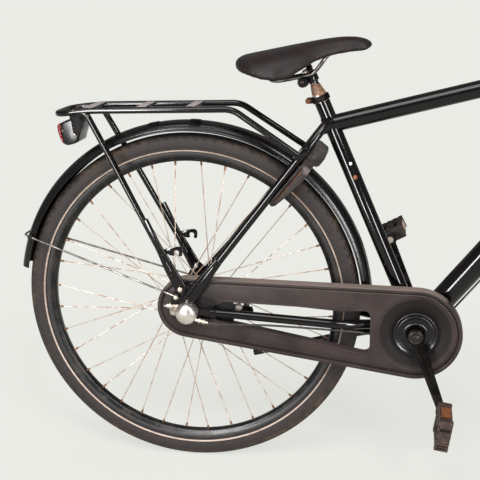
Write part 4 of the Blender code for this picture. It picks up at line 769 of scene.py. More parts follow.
def make_guard(name, axle_x, guard, ends, body, *nodes):
    half = [(0.0, 0.0), (-0.0004, 0.006), (-0.0017, 0.0118), (-0.004, 0.017), (-0.0076, 0.0211),
        (-0.0118, 0.0236), (-0.0142, 0.0243), (-0.0156, 0.0247), (-0.0166, 0.026), (-0.0178, 0.0263),
        (-0.0188, 0.0252), (-0.0182, 0.024), (-0.0164, 0.0236), (-0.0144, 0.0231), (-0.0122, 0.0223),
        (-0.0085, 0.0202), (-0.0051, 0.0163), (-0.0029, 0.0114), (-0.0017, 0.0058), (-0.0013, 0.0)]
    strip = rolled(name, axle_x, guard, ends, half, 90)
    finished(strip, GUARD_PAINT, body, *nodes, slot="gloss_black_paint")


GUARD_PAINT = black_gloss("guard_paint", 0.3, shine=0.2)
REAR_GUARD = (0.352, 0.003, 0.0045)  # radius, and its centre's place ahead of and above the axle
FRONT_GUARD = (0.35, 0.0, 0.0)
make_guard("rear_guard_strip", AXLE_X, REAR_GUARD, (5, 169), "frame", "rear_mudguard")
make_guard("front_guard_strip", FRONT_AXLE_X, FRONT_GUARD, (22, 172), "steered_front", "front_mudguard")


def stay_wire():
    steel = Finish("stay_steel", linear(120, 114, 110), 0.35, 0.8)
    here = steel.place()
    dull = steel.between(steel.noise(here, 60.0, 5.0, 0.6), 0.4, 0.66)
    colour = steel.mix(dull, linear(134, 128, 124), linear(70, 64, 62))
    steel.give(Base_Color=colour, Roughness=dull * 0.3 + 0.28,
        Normal=steel.bump(steel.noise(here, 500.0, 3.0), 0.0001))
    return steel.material


def black_plastic(name, colour, roughness, worn):
    plastic = Finish(name, colour, roughness, Specular_IOR_Level=0.2)
    here = plastic.place()
    wear = plastic.between(plastic.noise(here, 60.0, 6.0, 0.6), 0.48, 0.72)
    grain = plastic.noise(here, 900.0, 2.0)
    plastic.give(Base_Color=plastic.mix(wear * 0.6, colour, worn),
        Roughness=wear * 0.2 + grain * 0.1 + roughness, Normal=plastic.bump(grain + wear * 0.5, 0.00012))
    return plastic.material


STAY_STEEL = stay_wire()
CLIP_PLASTIC = black_plastic("clip_plastic", linear(20, 19, 20), 0.45, linear(44, 40, 38))


def make_stay(name, axle_x, guard, turn, eye, eye_y, lift, body, *nodes):
    """One wire bent over the guard, with an eye at each bolt and a knob at each edge of the guard."""
    angle = math.radians(turn)
    middle = Vector((axle_x + guard[1], 0, AXLE_Z + guard[2]))
    out = Vector((math.cos(angle), 0, math.sin(angle)))
    half = [Vector((axle_x + eye[0], eye_y, eye[1])),
        middle + out * (guard[0] - 0.01) + Vector((0, 0.0285, 0)),
        middle + out * (guard[0] + lift) + Vector((0, 0.0245, 0))]
    far = [Vector((point.x, -point.y, point.z)) for point in half]
    wire = bent_tube(name, rounded(far + half[::-1], 0.004, 4), 0.0019, 12)
    finished(wire, STAY_STEEL, body, *nodes, slot="hub_steel")
    for side in (-1, 1):
        knob = turned(name + "_knob", middle + out * (guard[0] - 0.01), (0, side, 0), [(0.0, 0.025),
            (0.004, 0.025), (0.0052, 0.0258), (0.0052, 0.0282), (0.004, 0.0292), (0.0044, 0.031),
            (0.004, 0.0326), (0.0, 0.033)], 20, False)
        finished(knob, CLIP_PLASTIC, body, slot="gloss_black_paint")
        ring = turned(name + "_eye", (axle_x + eye[0], 0, eye[1]), (0, side, 0), [(0.0036, eye_y - 0.0016),
            (0.0056, eye_y - 0.0016), (0.006, eye_y), (0.0056, eye_y + 0.0016), (0.0036, eye_y + 0.0016)], 20)
        finished(ring, STAY_STEEL, body, slot="hub_steel")
        bolt = turned(name + "_bolt", (axle_x + eye[0], 0, eye[1]), (0, side, 0), [(0.0, eye_y - 0.004),
            (0.0034, eye_y - 0.004), (0.0034, eye_y + 0.0016), (0.0054, eye_y + 0.0018),
            (0.0054, eye_y + 0.004), (0.0046, eye_y + 0.005), (0.0022, eye_y + 0.005),
            (0.0018, eye_y + 0.004), (0.0, eye_y + 0.004)], 6, False)
        finished(bolt, STAY_STEEL, body, slot="hub_steel")


make_stay("rear_stay", AXLE_X, REAR_GUARD, 158, (-0.016, 0.361), 0.0725, 0.0024, "frame", "rear_guard_stay")
make_stay("front_stay", FRONT_AXLE_X, FRONT_GUARD, 150, (0.001, 0.35), 0.07, 0.0024, "steered_front")


def guard_clip(turn):
    """A black clip pressed over the guard's crown."""
    half = [(0.001, 0.0), (0.0006, 0.006), (-0.0007, 0.012), (-0.0031, 0.0174), (-0.0068, 0.0217),
        (-0.011, 0.0244), (-0.0114, 0.0236), (-0.0074, 0.021), (-0.0038, 0.0169), (-0.0015, 0.0117),
        (-0.0002, 0.006), (0.0002, 0.0)]
    clip = rolled("guard_clip", AXLE_X, REAR_GUARD, (turn - 1.5, turn + 1.5), half, 6)
    finished(edged(clip, 0.0002, 2), CLIP_PLASTIC, "frame", slot="gloss_black_paint")


guard_clip(100.0)
guard_clip(86.8)


# Carrier
# A bent steel tube forms both rails and the rear end, with pressed straps across, two legs pressed flat
# at the foot, and a hook on each leg for an elastic strap. Black enamel, chipped on the near rail.

CARRIER_PAINT = black_gloss("carrier_paint", 0.7, 0.03)


def strap_reflection_finish():
    """Black enamel, with the upward faces painted pale as a painted reflection of the light above, in
    patches.
    """
    steel = Finish("strap_painted_reflection", linear(196, 184, 182), 0.4, 0.3)
    here = steel.place()
    worn = steel.between(steel.noise(here, 44.0, 5.0, 0.6), 0.3, 0.46)
    facing = steel.facing()
    # Painted reflection: faces that look up are painted pale, where the noise allows.
    top = steel.between(facing, 0.6, 0.9) * worn
    steel.give(Base_Color=steel.mix(top, linear(20, 19, 20), linear(206, 194, 192)), Metallic=top * 0.3,
        Roughness=0.42 - top * 0.1, Normal=steel.bump(steel.noise(here, 400.0, 3.0), 0.0001))
    return steel.material


STRAP_PAINTED_REFLECTION = strap_reflection_finish()
near = [spot(0.222, -0.0582, 0.629), spot(0.102, -0.048, 0.7125), spot(-0.175, -0.048, 0.7125),
    spot(-0.234, -0.048, 0.7065)]
far = [Vector((point.x, -point.y, point.z)) for point in near]
rails = bent_tube("carrier_rails", rounded(near + far[::-1], [0.016, 0.03, 0.04, 0.04, 0.03, 0.016], 8),
    0.006, 20)
finished(rails, CARRIER_PAINT, "frame", "rack", slot="gloss_black_paint")
for x in (-0.172, -0.0725, 0.022):
    strap = slab("strap", [(x - 0.01, 0.713), (x + 0.01, 0.713), (x + 0.01, 0.7158), (x + 0.0085, 0.7176),
        (x - 0.0085, 0.7176), (x - 0.01, 0.7158)], -0.047, 0.047)
    finished(edged(strap, 0.0006, 2), STRAP_PAINTED_REFLECTION, "frame", slot="gloss_black_paint")
HOOK = [(-0.037, 0.453), (-0.025, 0.4569), (-0.0146, 0.459), (-0.006, 0.4592), (-0.0015, 0.4572),
    (0.0005, 0.453), (-0.0007, 0.4415), (-0.0035, 0.44), (-0.0065, 0.4402), (-0.0075, 0.444),
    (-0.0063, 0.4485), (-0.0085, 0.4515), (-0.0137, 0.452), (-0.0161, 0.4495), (-0.0155, 0.4413),
    (-0.0246, 0.4417), (-0.0281, 0.4445), (-0.04, 0.4437)]
for side in (-1, 1):
    path = rounded([spot(-0.19, side * 0.048, 0.709), spot(-0.172, side * 0.0495, 0.706),
        spot(-0.1215, side * 0.057, 0.607), spot(-0.024, side * 0.0722, 0.41)], [0.014, 0.02], 8)
    leg = bent_tube("carrier_leg", path, [(0.0, 0.0058), (0.8, 0.006), (1.0, 0.0052)], 20)
    finished(leg, CARRIER_PAINT, "frame", slot="gloss_black_paint")
    blade = [(-0.072, 0.51), (-0.0628, 0.515), (-0.039, 0.462), (-0.0175, 0.4235), (0.003, 0.386),
        (0.005, 0.378), (0.003, 0.37), (-0.003, 0.366), (-0.01, 0.3665), (-0.016, 0.371), (-0.035, 0.413),
        (-0.052, 0.46)]
    foot = slab("carrier_foot", blade, side * 0.069, side * 0.0752)
    finished(edged(foot, 0.0022, 3), CARRIER_PAINT, "frame", slot="gloss_black_paint")
    hook = slab("carrier_hook", HOOK, side * 0.0672, side * 0.07)
    finished(edged(hook, 0.0007, 2), CARRIER_PAINT, "frame", slot="gloss_black_paint")
bracket = slab("carrier_bracket", [(0.21, 0.625), (0.233, 0.644), (0.242, 0.637), (0.238, 0.629),
    (0.221, 0.619)], -0.06, -0.056)
finished(edged(bracket, 0.0012, 2), CARRIER_PAINT, "frame", slot="gloss_black_paint")


# Rear lamp
# A glossy black moulded housing with a curved red lens, hung under the carrier by a dark bracket.

LAMP_BLACK = black_gloss("lamp_black", 0.2, shine=0.2)
BRACKET_DARK = black_plastic("bracket_dark", linear(22, 19, 19), 0.6, linear(62, 52, 48))
housing = slab("lamp_housing", [(-0.235, 0.6845), (-0.2274, 0.6895), (-0.2171, 0.6935), (-0.206, 0.694),
    (-0.196, 0.688), (-0.193, 0.674), (-0.1985, 0.66), (-0.2005, 0.651), (-0.2094, 0.6473), (-0.2225, 0.644),
    (-0.23, 0.6465)], -0.027, 0.027)
finished(edged(housing, 0.006, 5), LAMP_BLACK, "frame", "rear_lamp_housing", slot="lock_plastic")
holder = slab("lamp_bracket", [(-0.211, 0.707), (-0.193, 0.706), (-0.188, 0.69), (-0.1925, 0.672),
    (-0.1975, 0.665), (-0.205, 0.6625), (-0.2085, 0.67), (-0.21, 0.685)], -0.0302, -0.0268)
finished(edged(holder, 0.0012, 3), BRACKET_DARK, "frame", slot="lock_plastic")
neck = slab("lamp_neck", [(-0.213, 0.69), (-0.19, 0.69), (-0.187, 0.7115), (-0.215, 0.7115)], -0.029, 0.018)
finished(edged(neck, 0.003, 3), BRACKET_DARK, "frame", slot="lock_plastic")


def red_lens():
    lens = Finish("red_lens", linear(150, 26, 24), 0.12, Specular_IOR_Level=0.35)
    here = lens.place()
    ribs = lens.sine(lens.axes(here)[2] * 2400.0)
    dirt = lens.between(lens.noise(here, 120.0, 4.0), 0.5, 0.75)
    colour = lens.mix(lens.between(ribs, -0.2, 0.9), linear(172, 34, 30), linear(104, 16, 16))
    lens.give(Base_Color=lens.mix(dirt * 0.4, colour, linear(84, 44, 38)), Normal=lens.bump(ribs, 0.0002))
    return lens.material


lens = slab("lamp_lens", [(-0.233, 0.6862), (-0.2378, 0.6855), (-0.2402, 0.68), (-0.2392, 0.669),
    (-0.2362, 0.658), (-0.2318, 0.6482), (-0.229, 0.6476), (-0.2335, 0.668)], -0.0255, 0.0255)
finished(edged(lens, 0.0014, 3), red_lens(), "frame", "rear_lamp_lens", slot="red_lens")
for x, z, reach, size in ((-0.2058, 0.665, 0.0302, 0.0034), (-0.229, 0.6725, 0.027, 0.0026)):
    stud = turned("lamp_stud", spot(x, 0, z), (0, -1, 0), [(0.0, reach - 0.001), (size, reach - 0.001),
        (size, reach + 0.0006), (size * 0.8, reach + 0.0014), (size * 0.3, reach + 0.0016),
        (size * 0.25, reach + 0.001), (0.0, reach + 0.001)], 20, False)
    finished(stud, STAY_STEEL, "frame", slot="hub_steel")


# Rear hub, axle and gear fittings
# A steel hub shell with two spoke flanges, dull and greasy. Outside the frame sit two tensioner plates
# with rusty screws, pale plated bolts and a chromed dome over the gear chain.


def worn_steel(name, clean, dull, rust_share, roughness=0.34):
    steel = Finish(name, clean, roughness, 0.9)
    here = steel.place()
    grime = steel.between(steel.noise(here, 70.0, 5.0, 0.6), 0.38, 0.66)
    rust = steel.between(steel.noise(here, 150.0, 5.0, 0.65), 0.72 - rust_share, 0.8 - rust_share)
    colour = steel.mix(grime, clean, dull)
    colour = steel.mix(rust, colour, linear(138, 84, 52))
    steel.give(Base_Color=colour, Metallic=0.9 - rust * 0.7, Roughness=grime * 0.25 + rust * 0.3 + roughness,
        Normal=steel.bump(steel.noise(here, 700.0, 4.0) + rust * 0.6, 0.00012))
    return steel.material


HUB_STEEL = worn_steel("hub_steel", linear(190, 182, 174), linear(128, 116, 106), 0.1)
PALE_STEEL = worn_steel("pale_plating", linear(214, 204, 190), linear(150, 134, 118), 0.08, 0.3)
CHROME = worn_steel("chrome", linear(224, 216, 210), linear(196, 184, 176), 0.02, 0.12)
RUSTY = worn_steel("rusty_steel", linear(148, 96, 66), linear(104, 66, 46), 0.3, 0.55)

hub = turned("rear_hub_barrel", (AXLE_X, 0, AXLE_Z), (0, 1, 0), [(0.023, -0.0365), (0.027, -0.0365),
    (0.0282, -0.0358), (0.029, -0.0335), (0.03, -0.0326), (0.0336, -0.0322), (0.0341, -0.0316),
    (0.0341, -0.029), (0.0334, -0.0284), (0.029, -0.0276), (0.0272, -0.0262), (0.0268, -0.023),
    (0.0268, 0.023), (0.0272, 0.0262), (0.029, 0.0276), (0.0334, 0.0284), (0.0341, 0.029), (0.0341, 0.0316),
    (0.0336, 0.0322), (0.03, 0.0326), (0.029, 0.034), (0.0282, 0.0368), (0.027, 0.0375), (0.023, 0.0375)], 64)
finished(hub, HUB_STEEL, "rear_wheel", "rear_hub_shell", slot="hub_steel")

dome = turned("gear_dome", spot(0.004, 0, 0.33), (0, 1, 0), [(0.02, -0.0711), (0.0214, -0.0711),
    (0.0221, -0.0722), (0.0216, -0.0735), (0.0221, -0.0752), (0.022, -0.0798), (0.0212, -0.0832),
    (0.0194, -0.0868), (0.0162, -0.09), (0.0118, -0.0922), (0.006, -0.0933), (0.0, -0.0936), (0.0, -0.0916),
    (0.01, -0.0902), (0.017, -0.086), (0.0203, -0.0795)], 64, False)
finished(dome, CHROME, "frame", "gear_cover", slot="polished_cover")


def softened(name, node, width, material, body, sharp=40, slot=None, segments=2):
    """A copy of a solid of the frame, with its edges rounded as the real part's are."""
    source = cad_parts[node]
    made = bpy.data.objects.new(name, source.data.copy())
    bpy.context.scene.collection.objects.link(made)
    opened(made)
    bpy.ops.mesh.remove_doubles(threshold=1e-5)
    select_whole()
    bpy.ops.mesh.dissolve_limited(angle_limit=math.radians(3))
    shut()
    edged(made, width, segments)
    return finished(made, material, body, node, sharp=sharp, slot=slot)


for side in ("left", "right"):
    softened(f"tensioner_{side}", f"chain_tensioner_{side}", 0.0004, HUB_STEEL, "frame", slot="hub_steel")
for node in ("rear_axle_and_works", "front_axle", "brake_arm_clip", "crank_bearing_cup_left",
        "crank_bearing_cup_right", "crank_spindle"):
    finish_node(node, HUB_STEEL)


def bolt_piece(name, place, axis, size, length, material, body, slot=None):
    """A bolt head: a hexagon with a turned-down edge and a washer under it."""
    deselect()
    bpy.ops.mesh.primitive_cylinder_add(vertices=6, radius=size, depth=length, location=(0, 0, length / 2))
    head = bpy.context.object
    bpy.ops.object.transform_apply(location=True)
    pick(head, lambda face: face.normal.z > 0.9)
    bpy.ops.mesh.inset(thickness=size * 0.18, depth=size * 0.12)
    bpy.ops.mesh.inset(thickness=size * 0.35, depth=0)
    bpy.ops.mesh.inset(thickness=size * 0.05, depth=-size * 0.15)
    shut()
    washer = rod_piece("washer", size * 1.3, length * 0.22, 24)
    whole = joined(name, [head, washer])
    whole.data.transform(between_points(Vector(place), Vector(place) + Vector(axis)))
    return finished(whole, material, body, slot=slot)


small_stud("seat_tube_rivet", 0.579, 74, 0.0042, 0.0016, RUSTY)
small_stud("seat_tube_patch", 0.604, 66, 0.0032, 0.0005, HUB_STEEL)
bolt_piece("rack_bolt_head", spot(-0.006, -0.0789, 0.377), (0, -1, 0), 0.0041, 0.0036, PALE_STEEL, "frame")
bolt_piece("guard_bolt_head", spot(-0.016, -0.0766, 0.361), (0, -1, 0), 0.0039, 0.0032, PALE_STEEL, "frame")
bolt_piece("rack_bolt_head_far", spot(-0.006, 0.0789, 0.377), (0, 1, 0), 0.0041, 0.0036, PALE_STEEL, "frame")
bolt_piece("guard_bolt_head_far", spot(-0.016, 0.0766, 0.361), (0, 1, 0), 0.0039, 0.0032, PALE_STEEL, "frame")

barrel = turned("cable_adjuster", spot(0.023, -0.079, 0.317), (0.95, 0, -0.22), [(0.0, -0.004),
    (0.003, -0.004), (0.0034, -0.0035), (0.0034, 0.0035), (0.005, 0.004), (0.0052, 0.0075), (0.0042, 0.008),
    (0.0042, 0.012), (0.0052, 0.0124), (0.005, 0.016), (0.003, 0.0165), (0.0028, 0.0225), (0.0, 0.0228)], 20,
    False)
finished(barrel, PALE_STEEL, "frame", slot="hub_steel")


# Chain, sprocket and chainring
# Plain steel, brown all over with rust. They keep the shape of the frame's solids and run inside the
# case, where they hardly show.

for node in ("chain", "rear_sprocket", "chainring"):
    finish_node(node, RUSTY)


# Chain case
# Two moulded plastic halves in dark grey, satin, 22 mm thick, with a rounded lip all round, a long
# window for the chain stay and a dished seat for the cover disc. The rear end is a cap of its own.


def case_finish():
    plastic = Finish("case_plastic", linear(66, 60, 60), 0.4, Specular_IOR_Level=0.17)
    here = plastic.place()
    x, y, z = plastic.axes(here)
    blotch = plastic.noise(here, 14.0, 4.0, 0.5)
    scuffs = plastic.noise(plastic.place(stretch=(1, 8, 8)), 46.0, 5.0, 0.6)
    fine = plastic.noise(here, 1400.0, 2.0)
    facing = plastic.facing()
    # Dust and painted highlight: the upper faces along the top of the case are painted pale, for dust and for
    # the sheen of the light on the top lip.
    dust = plastic.between(facing, 0.2, 1.0) * plastic.between(z, 0.352, 0.358)
    colour = plastic.mix(plastic.between(blotch, 0.35, 0.7), linear(76, 64, 62), linear(54, 45, 44))
    colour = plastic.mix(plastic.between(scuffs, 0.6, 0.74) * 0.2, colour, linear(116, 104, 100))
    # Painted shade: the walls and floor of the groove inside the lip are painted near-black.
    facing_out = plastic.facing(1) * -1.0
    painted_groove_shade = plastic.between(y, -0.0594, -0.0584) * plastic.between(facing_out, 0.05, 0.3)
    colour = plastic.mix(painted_groove_shade * 0.75, colour, linear(20, 18, 18))
    # Pale top of the case: dust and painted highlight.
    colour = plastic.mix(dust * 0.8, colour, linear(150, 134, 124))
    plastic.give(Base_Color=colour, Roughness=blotch * 0.2 + scuffs * 0.12 + 0.22,
        Normal=plastic.bump(fine * 0.5 + scuffs * 0.5, 0.0001))
    return plastic.material


CASE_PLASTIC = case_finish()
CRANK = (0.4375, 0.292)


def belt(change, steps=36):
    """Outline of the case, as a belt laid round its two ends."""
    rear, front = (0.003, 0.335, 0.06), (0.437, 0.289, 0.088)
    along = math.atan2(front[1] - rear[1], front[0] - rear[0])
    opening = math.acos((rear[2] - front[2]) / math.hypot(front[1] - rear[1], front[0] - rear[0]))
    points = []
    for circle, begin, sweep in ((front, along - opening, 2 * opening), (rear, along + opening,
            2 * math.pi - 2 * opening)):
        for k in range(steps + 1):
            angle = begin + sweep * k / steps
            radius = circle[2] + change
            points.append((circle[0] + radius * math.cos(angle), circle[1] + radius * math.sin(angle)))
    return points


def window(grow):
    corners = [(0.045, 0.333), (0.056, 0.3105), (0.105, 0.3005), (0.277, 0.264), (0.351, 0.2475),
        (0.353, 0.335), (0.296, 0.3332), (0.22, 0.3407), (0.124, 0.3459), (0.07, 0.348)]
    bends = [0.009] * 4 + [0.016, 0.013] + [0.009] * 4
    loop = rounded([(x, 0, z) for x, z in corners[-1:] + corners + corners[:1]], bends, 5)[1:-1]
    outline = [(point.x, point.z) for point in loop]
    if not grow:
        return outline
    grown = []
    for before, here, after in zip(outline[-1:] + outline[:-1], outline, outline[1:] + outline[:1]):
        along = Vector((after[0] - before[0], after[1] - before[1])).normalized()
        grown.append((here[0] + grow * along.y, here[1] - grow * along.x))
    return grown


case = slab("case", belt(0.0), -0.04, -0.0604)
pick(case, lambda face: face.normal.y < -0.9)
for inward, outward in ((0.0006, 0.0012), (0.0012, 0.0009), (0.002, 0.0003), (0.0018, 0.0), (0.0008, -0.0004),
        (0.0006, -0.0014), (0.0006, -0.0024), (0.0018, 0.0), (0.0012, 0.0012), (0.0012, 0.0004)):
    bpy.ops.mesh.inset(thickness=inward, depth=outward)
shut()
room = slab("room", belt(-0.004), -0.0538, -0.042)
combined(room, slab("wall", window(0.002), -0.08, -0.03), "DIFFERENCE")
combined(case, room, "DIFFERENCE")
combined(case, slab("window", window(0.0), -0.08, -0.03), "DIFFERENCE")
crank_middle = spot(CRANK[0], 0, CRANK[1])
dish = turned("dish", crank_middle, (0, 1, 0), [(0.0, -0.07), (0.076, -0.07), (0.075, -0.0608),
    (0.0735, -0.0598), (0.049, -0.0562), (0.047, -0.0556), (0.0, -0.0556)], 96, False)
combined(case, dish, "DIFFERENCE")
for middle, radius, low, high in ((crank_middle, 0.04, -0.07, -0.05), (crank_middle, 0.03, -0.048, -0.03),
        (spot(0, 0, AXLE_Z), 0.012, -0.07, -0.05), (spot(0, 0, AXLE_Z), 0.022, -0.048, -0.03)):
    hole = turned("hole", middle, (0, 1, 0), [(0.0, low), (radius, low), (radius, high), (0.0, high)], 48,
        False)
    combined(case, hole, "DIFFERENCE")
notch = slab("notch", [(0.01, 0.348), (0.06, 0.33), (0.06, 0.347), (0.05, 0.3535), (0.038, 0.358),
    (0.014, 0.36)], -0.08, -0.0565)
combined(case, notch, "DIFFERENCE")


def cut_off(piece, x, ahead):
    """Cuts a piece square at X and keeps what lies ahead of the cut, or behind it."""
    opened(piece)
    bpy.ops.mesh.bisect(plane_co=spot(x, 0, 0), plane_no=(1, 0, 0), use_fill=True, clear_inner=ahead,
        clear_outer=not ahead)
    shut()
    return piece


lip = slab("case_window_lip", window(0.0042), -0.0588, -0.0608)
combined(lip, slab("inside", window(0.0004), -0.08, -0.03), "DIFFERENCE")
cut_off(lip, 0.075, True)
finished(edged(lip, 0.0008, 3), CASE_PLASTIC, "frame", slot="case_plastic")
# A near-black web behind the rear of the window: a dark sheet that stands in for the shade inside the case.
shade_web = slab("case_shade_web", [(0.038, 0.3), (0.088, 0.3), (0.092, 0.326), (0.088, 0.352), (0.038, 0.352)],
    -0.046, -0.0436)
finished(edged(shade_web, 0.0006, 2), black_plastic("painted_shade_black", linear(14, 13, 13), 0.5, linear(30, 26, 25)),
    "frame", slot="case_plastic")
plug = turned("case_plug", spot(0.1, 0, 0.3335), (0, 1, 0), [(0.0, -0.05), (0.004, -0.0497),
    (0.0062, -0.0486), (0.007, -0.047), (0.007, -0.044), (0.0, -0.044)], 32, False)
finished(plug, black_plastic("plug_pale", linear(196, 184, 178), 0.4, linear(140, 120, 108)), "frame",
    slot="case_plastic")
cap = copied(case, Matrix.Identity(4))
cap.name = "case_cap"
cut_off(case, 0.0016, True)
cut_off(cap, 0.0008, False)
finished(case, CASE_PLASTIC, "frame", "chain_case", sharp=24, slot="case_plastic")
finished(cap, CASE_PLASTIC, "frame", "chain_case_rear_cap", sharp=24, slot="case_plastic")


# Cover disc, crank arms and their bolts
# The cover disc is glossy black and clipped into the case's dish. The cranks are forged steel in
# black enamel, worn brown along the arm, with a steel bolt in a dust cap.

disc = turned("cover_disc", crank_middle, (0, 1, 0), [(0.0165, -0.064), (0.0165, -0.0662), (0.018, -0.0668),
    (0.0205, -0.0668), (0.0216, -0.0658), (0.024, -0.0654), (0.029, -0.0654), (0.032, -0.0658),
    (0.0332, -0.0664), (0.0348, -0.0664), (0.0356, -0.0658), (0.0376, -0.0664), (0.0392, -0.0676),
    (0.0408, -0.0676), (0.042, -0.0666), (0.0428, -0.0648), (0.043, -0.0628), (0.04, -0.0624),
    (0.03, -0.0624)], 96)
DISC_GLOSS = black_gloss("disc_gloss", 0.3, shine=0.22)
finished(disc, DISC_GLOSS, "frame", "crank_cover_disc", slot="gloss_black_paint")


def worn_enamel(name):
    paint = Finish(name, linear(15, 13, 13), 0.3, Specular_IOR_Level=0.1)
    here = paint.place()
    wear = paint.between(paint.noise(here, 38.0, 6.0, 0.65), 0.45, 0.66)
    rust = paint.between(paint.noise(here, 210.0, 4.0, 0.6), 0.66, 0.72)
    colour = paint.mix(wear * 0.16, linear(9, 7, 7), linear(70, 54, 44))
    colour = paint.mix(rust * 0.8, colour, linear(120, 72, 44))
    paint.give(Base_Color=colour, Roughness=wear * 0.3 + 0.26, Normal=paint.bump(wear + rust, 0.00015))
    return paint.material


CRANK_ENAMEL = worn_enamel("crank_enamel")
for side in ("right", "left"):
    softened(f"crank_arm_{side}", f"crank_{side}", 0.0012, CRANK_ENAMEL, "crankset", slot="gloss_black_paint",
        segments=3)
DARK_BOLT = worn_steel("dark_bolt", linear(62, 55, 51), linear(34, 29, 27), 0.06, 0.34)
for side, reach in ((-1, 0.085), (1, 0.078)):
    nut = turned(f"crank_cap_{'right' if side < 0 else 'left'}", crank_middle, (0, side, 0),
        [(0.0, reach - 0.0005), (0.0122, reach - 0.0005), (0.0125, reach + 0.0006), (0.0112, reach + 0.0014),
        (0.0098, reach + 0.0012), (0.009, reach + 0.0004), (0.0072, reach + 0.0006), (0.0068, reach + 0.0034),
        (0.0058, reach + 0.004), (0.0, reach + 0.0042)], 36, False)
    finished(nut, DARK_BOLT, "crankset", slot="hub_steel")


# Pedals
# Block pedals of grey-brown plastic on a steel axle, scuffed at the corners, with an amber reflector
# let into each long side. Ribs across the treads keep the foot from slipping.


def pedal_plastic(name, painted_light_level):
    """Grey-brown plastic, browner and lighter where it is scuffed. All its colours are scaled by a level,
    which makes a darker copy for painted shade.
    """
    plastic = Finish(name, linear(95, 80, 74), 0.6, Specular_IOR_Level=0.25)
    here = plastic.place()
    dirt = plastic.between(plastic.noise(here, 52.0, 6.0, 0.6), 0.4, 0.68)
    scrape = plastic.between(plastic.noise(here, 190.0, 4.0, 0.6), 0.58, 0.7)
    colour = plastic.mix(dirt, linear(84 * painted_light_level, 66 * painted_light_level, 59 * painted_light_level),
        linear(50 * painted_light_level, 37 * painted_light_level, 32 * painted_light_level))
    colour = plastic.mix(scrape * 0.5 * painted_light_level, colour, linear(138, 114, 100))
    plastic.give(Base_Color=colour, Roughness=dirt * 0.25 + 0.5,
        Normal=plastic.bump(dirt * 0.6 + scrape, 0.0004))
    return plastic.material


def amber():
    lens = Finish("amber_lens", linear(190, 112, 36), 0.22)
    here = lens.place()
    cells = lens.node("ShaderNodeTexVoronoi", {}, {"Vector": here, "Scale": 420.0})
    dirt = lens.between(lens.noise(here, 90.0, 4.0), 0.5, 0.72)
    colour = lens.mix(lens.between(cells, 0.1, 0.6), linear(190, 116, 38), linear(132, 70, 24))
    lens.give(Base_Color=lens.mix(dirt * 0.8, colour, linear(80, 54, 36)), Normal=lens.bump(cells, 0.0003))
    return lens.material


def pedal_spot(side, along, y, lift):
    """Place on a pedal: along its length, off the bicycle's middle, and up from its centre."""
    low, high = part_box(f"pedal_{side}_body")
    tilt = math.radians(PEDAL_TILT[side])
    return Vector(((low[0] + high[0]) / 2 + along * math.cos(tilt) - lift * math.sin(tilt), y,
        (low[2] + high[2]) / 2 + along * math.sin(tilt) + lift * math.cos(tilt)))


def pedal_cut(side, along_pair, y_pair, lift_pair):
    corners = [(along_pair[0], lift_pair[0]), (along_pair[1], lift_pair[0]), (along_pair[1], lift_pair[1]),
        (along_pair[0], lift_pair[1])]
    places = [pedal_spot(side, along, y_pair[0], lift) for along, lift in corners]
    return slab("pedal_cut", [(place.x - AXLE_X, place.z) for place in places], *y_pair)


PEDAL_TILT = {"right": 80, "left": 26}
# The far pedal's plastic is a darker copy of the near one: painted shade.
PEDAL_PLASTIC = {"right": pedal_plastic("pedal_plastic", 1.0),
    "left": pedal_plastic("pedal_plastic_painted_shade", 0.6)}
AMBER = amber()
for side in ("right", "left"):
    block = softened(f"pedal_block_{side}", f"pedal_{side}_body", 0.0011, PEDAL_PLASTIC[side],
        f"{side}_pedal", slot="pedal_plastic")
    low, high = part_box(f"pedal_{side}_body")
    outside = low[1] if side == "right" else high[1]
    inward = 0.0062 if side == "right" else -0.0062
    for along_pair in ((0.0085, 0.015), (-0.025, -0.0225), (-0.0205, -0.018)):
        combined(block, pedal_cut(side, along_pair, (outside - inward, outside + inward), (-0.0088, 0.0088)),
            "DIFFERENCE")
    for lift in (-0.0125, 0.0125):
        for along in (-0.018, -0.006, 0.006, 0.018):
            notch = pedal_cut(side, (along - 0.0022, along + 0.0022),
                (outside - inward, outside + inward * 0.7), (lift - 0.0022, lift + 0.0022))
            combined(block, notch, "DIFFERENCE")
    cap = turned(f"pedal_cap_{side}", pedal_spot(side, -0.0045, outside, 0.0), (0, outside, 0),
        [(0.0, -0.001), (0.0098, -0.001), (0.01, 0.0004), (0.009, 0.0016), (0.006, 0.002), (0.0052, 0.0012),
        (0.0, 0.0012)], 36, False)
    finished(cap, PEDAL_PLASTIC[side], f"{side}_pedal", slot="pedal_plastic")
    finish_node(f"pedal_{side}_reflector", AMBER)
    finish_node(f"pedal_{side}_axle", HUB_STEEL)


# Ring lock
# A horseshoe of dark plastic bolted to the seat stays, with a key box over the crown. Its shackle, a
# rusty steel arc, stands open inside the slot of its side walls.


def lock_spot(out, y, thick):
    """Place in the lock's own plane: outwards from the axle, to the left, and across its thickness."""
    return Vector((AXLE_X + LOCK_AHEAD * out - LOCK_RISE * thick, y,
        AXLE_Z + LOCK_RISE * out + LOCK_AHEAD * thick))


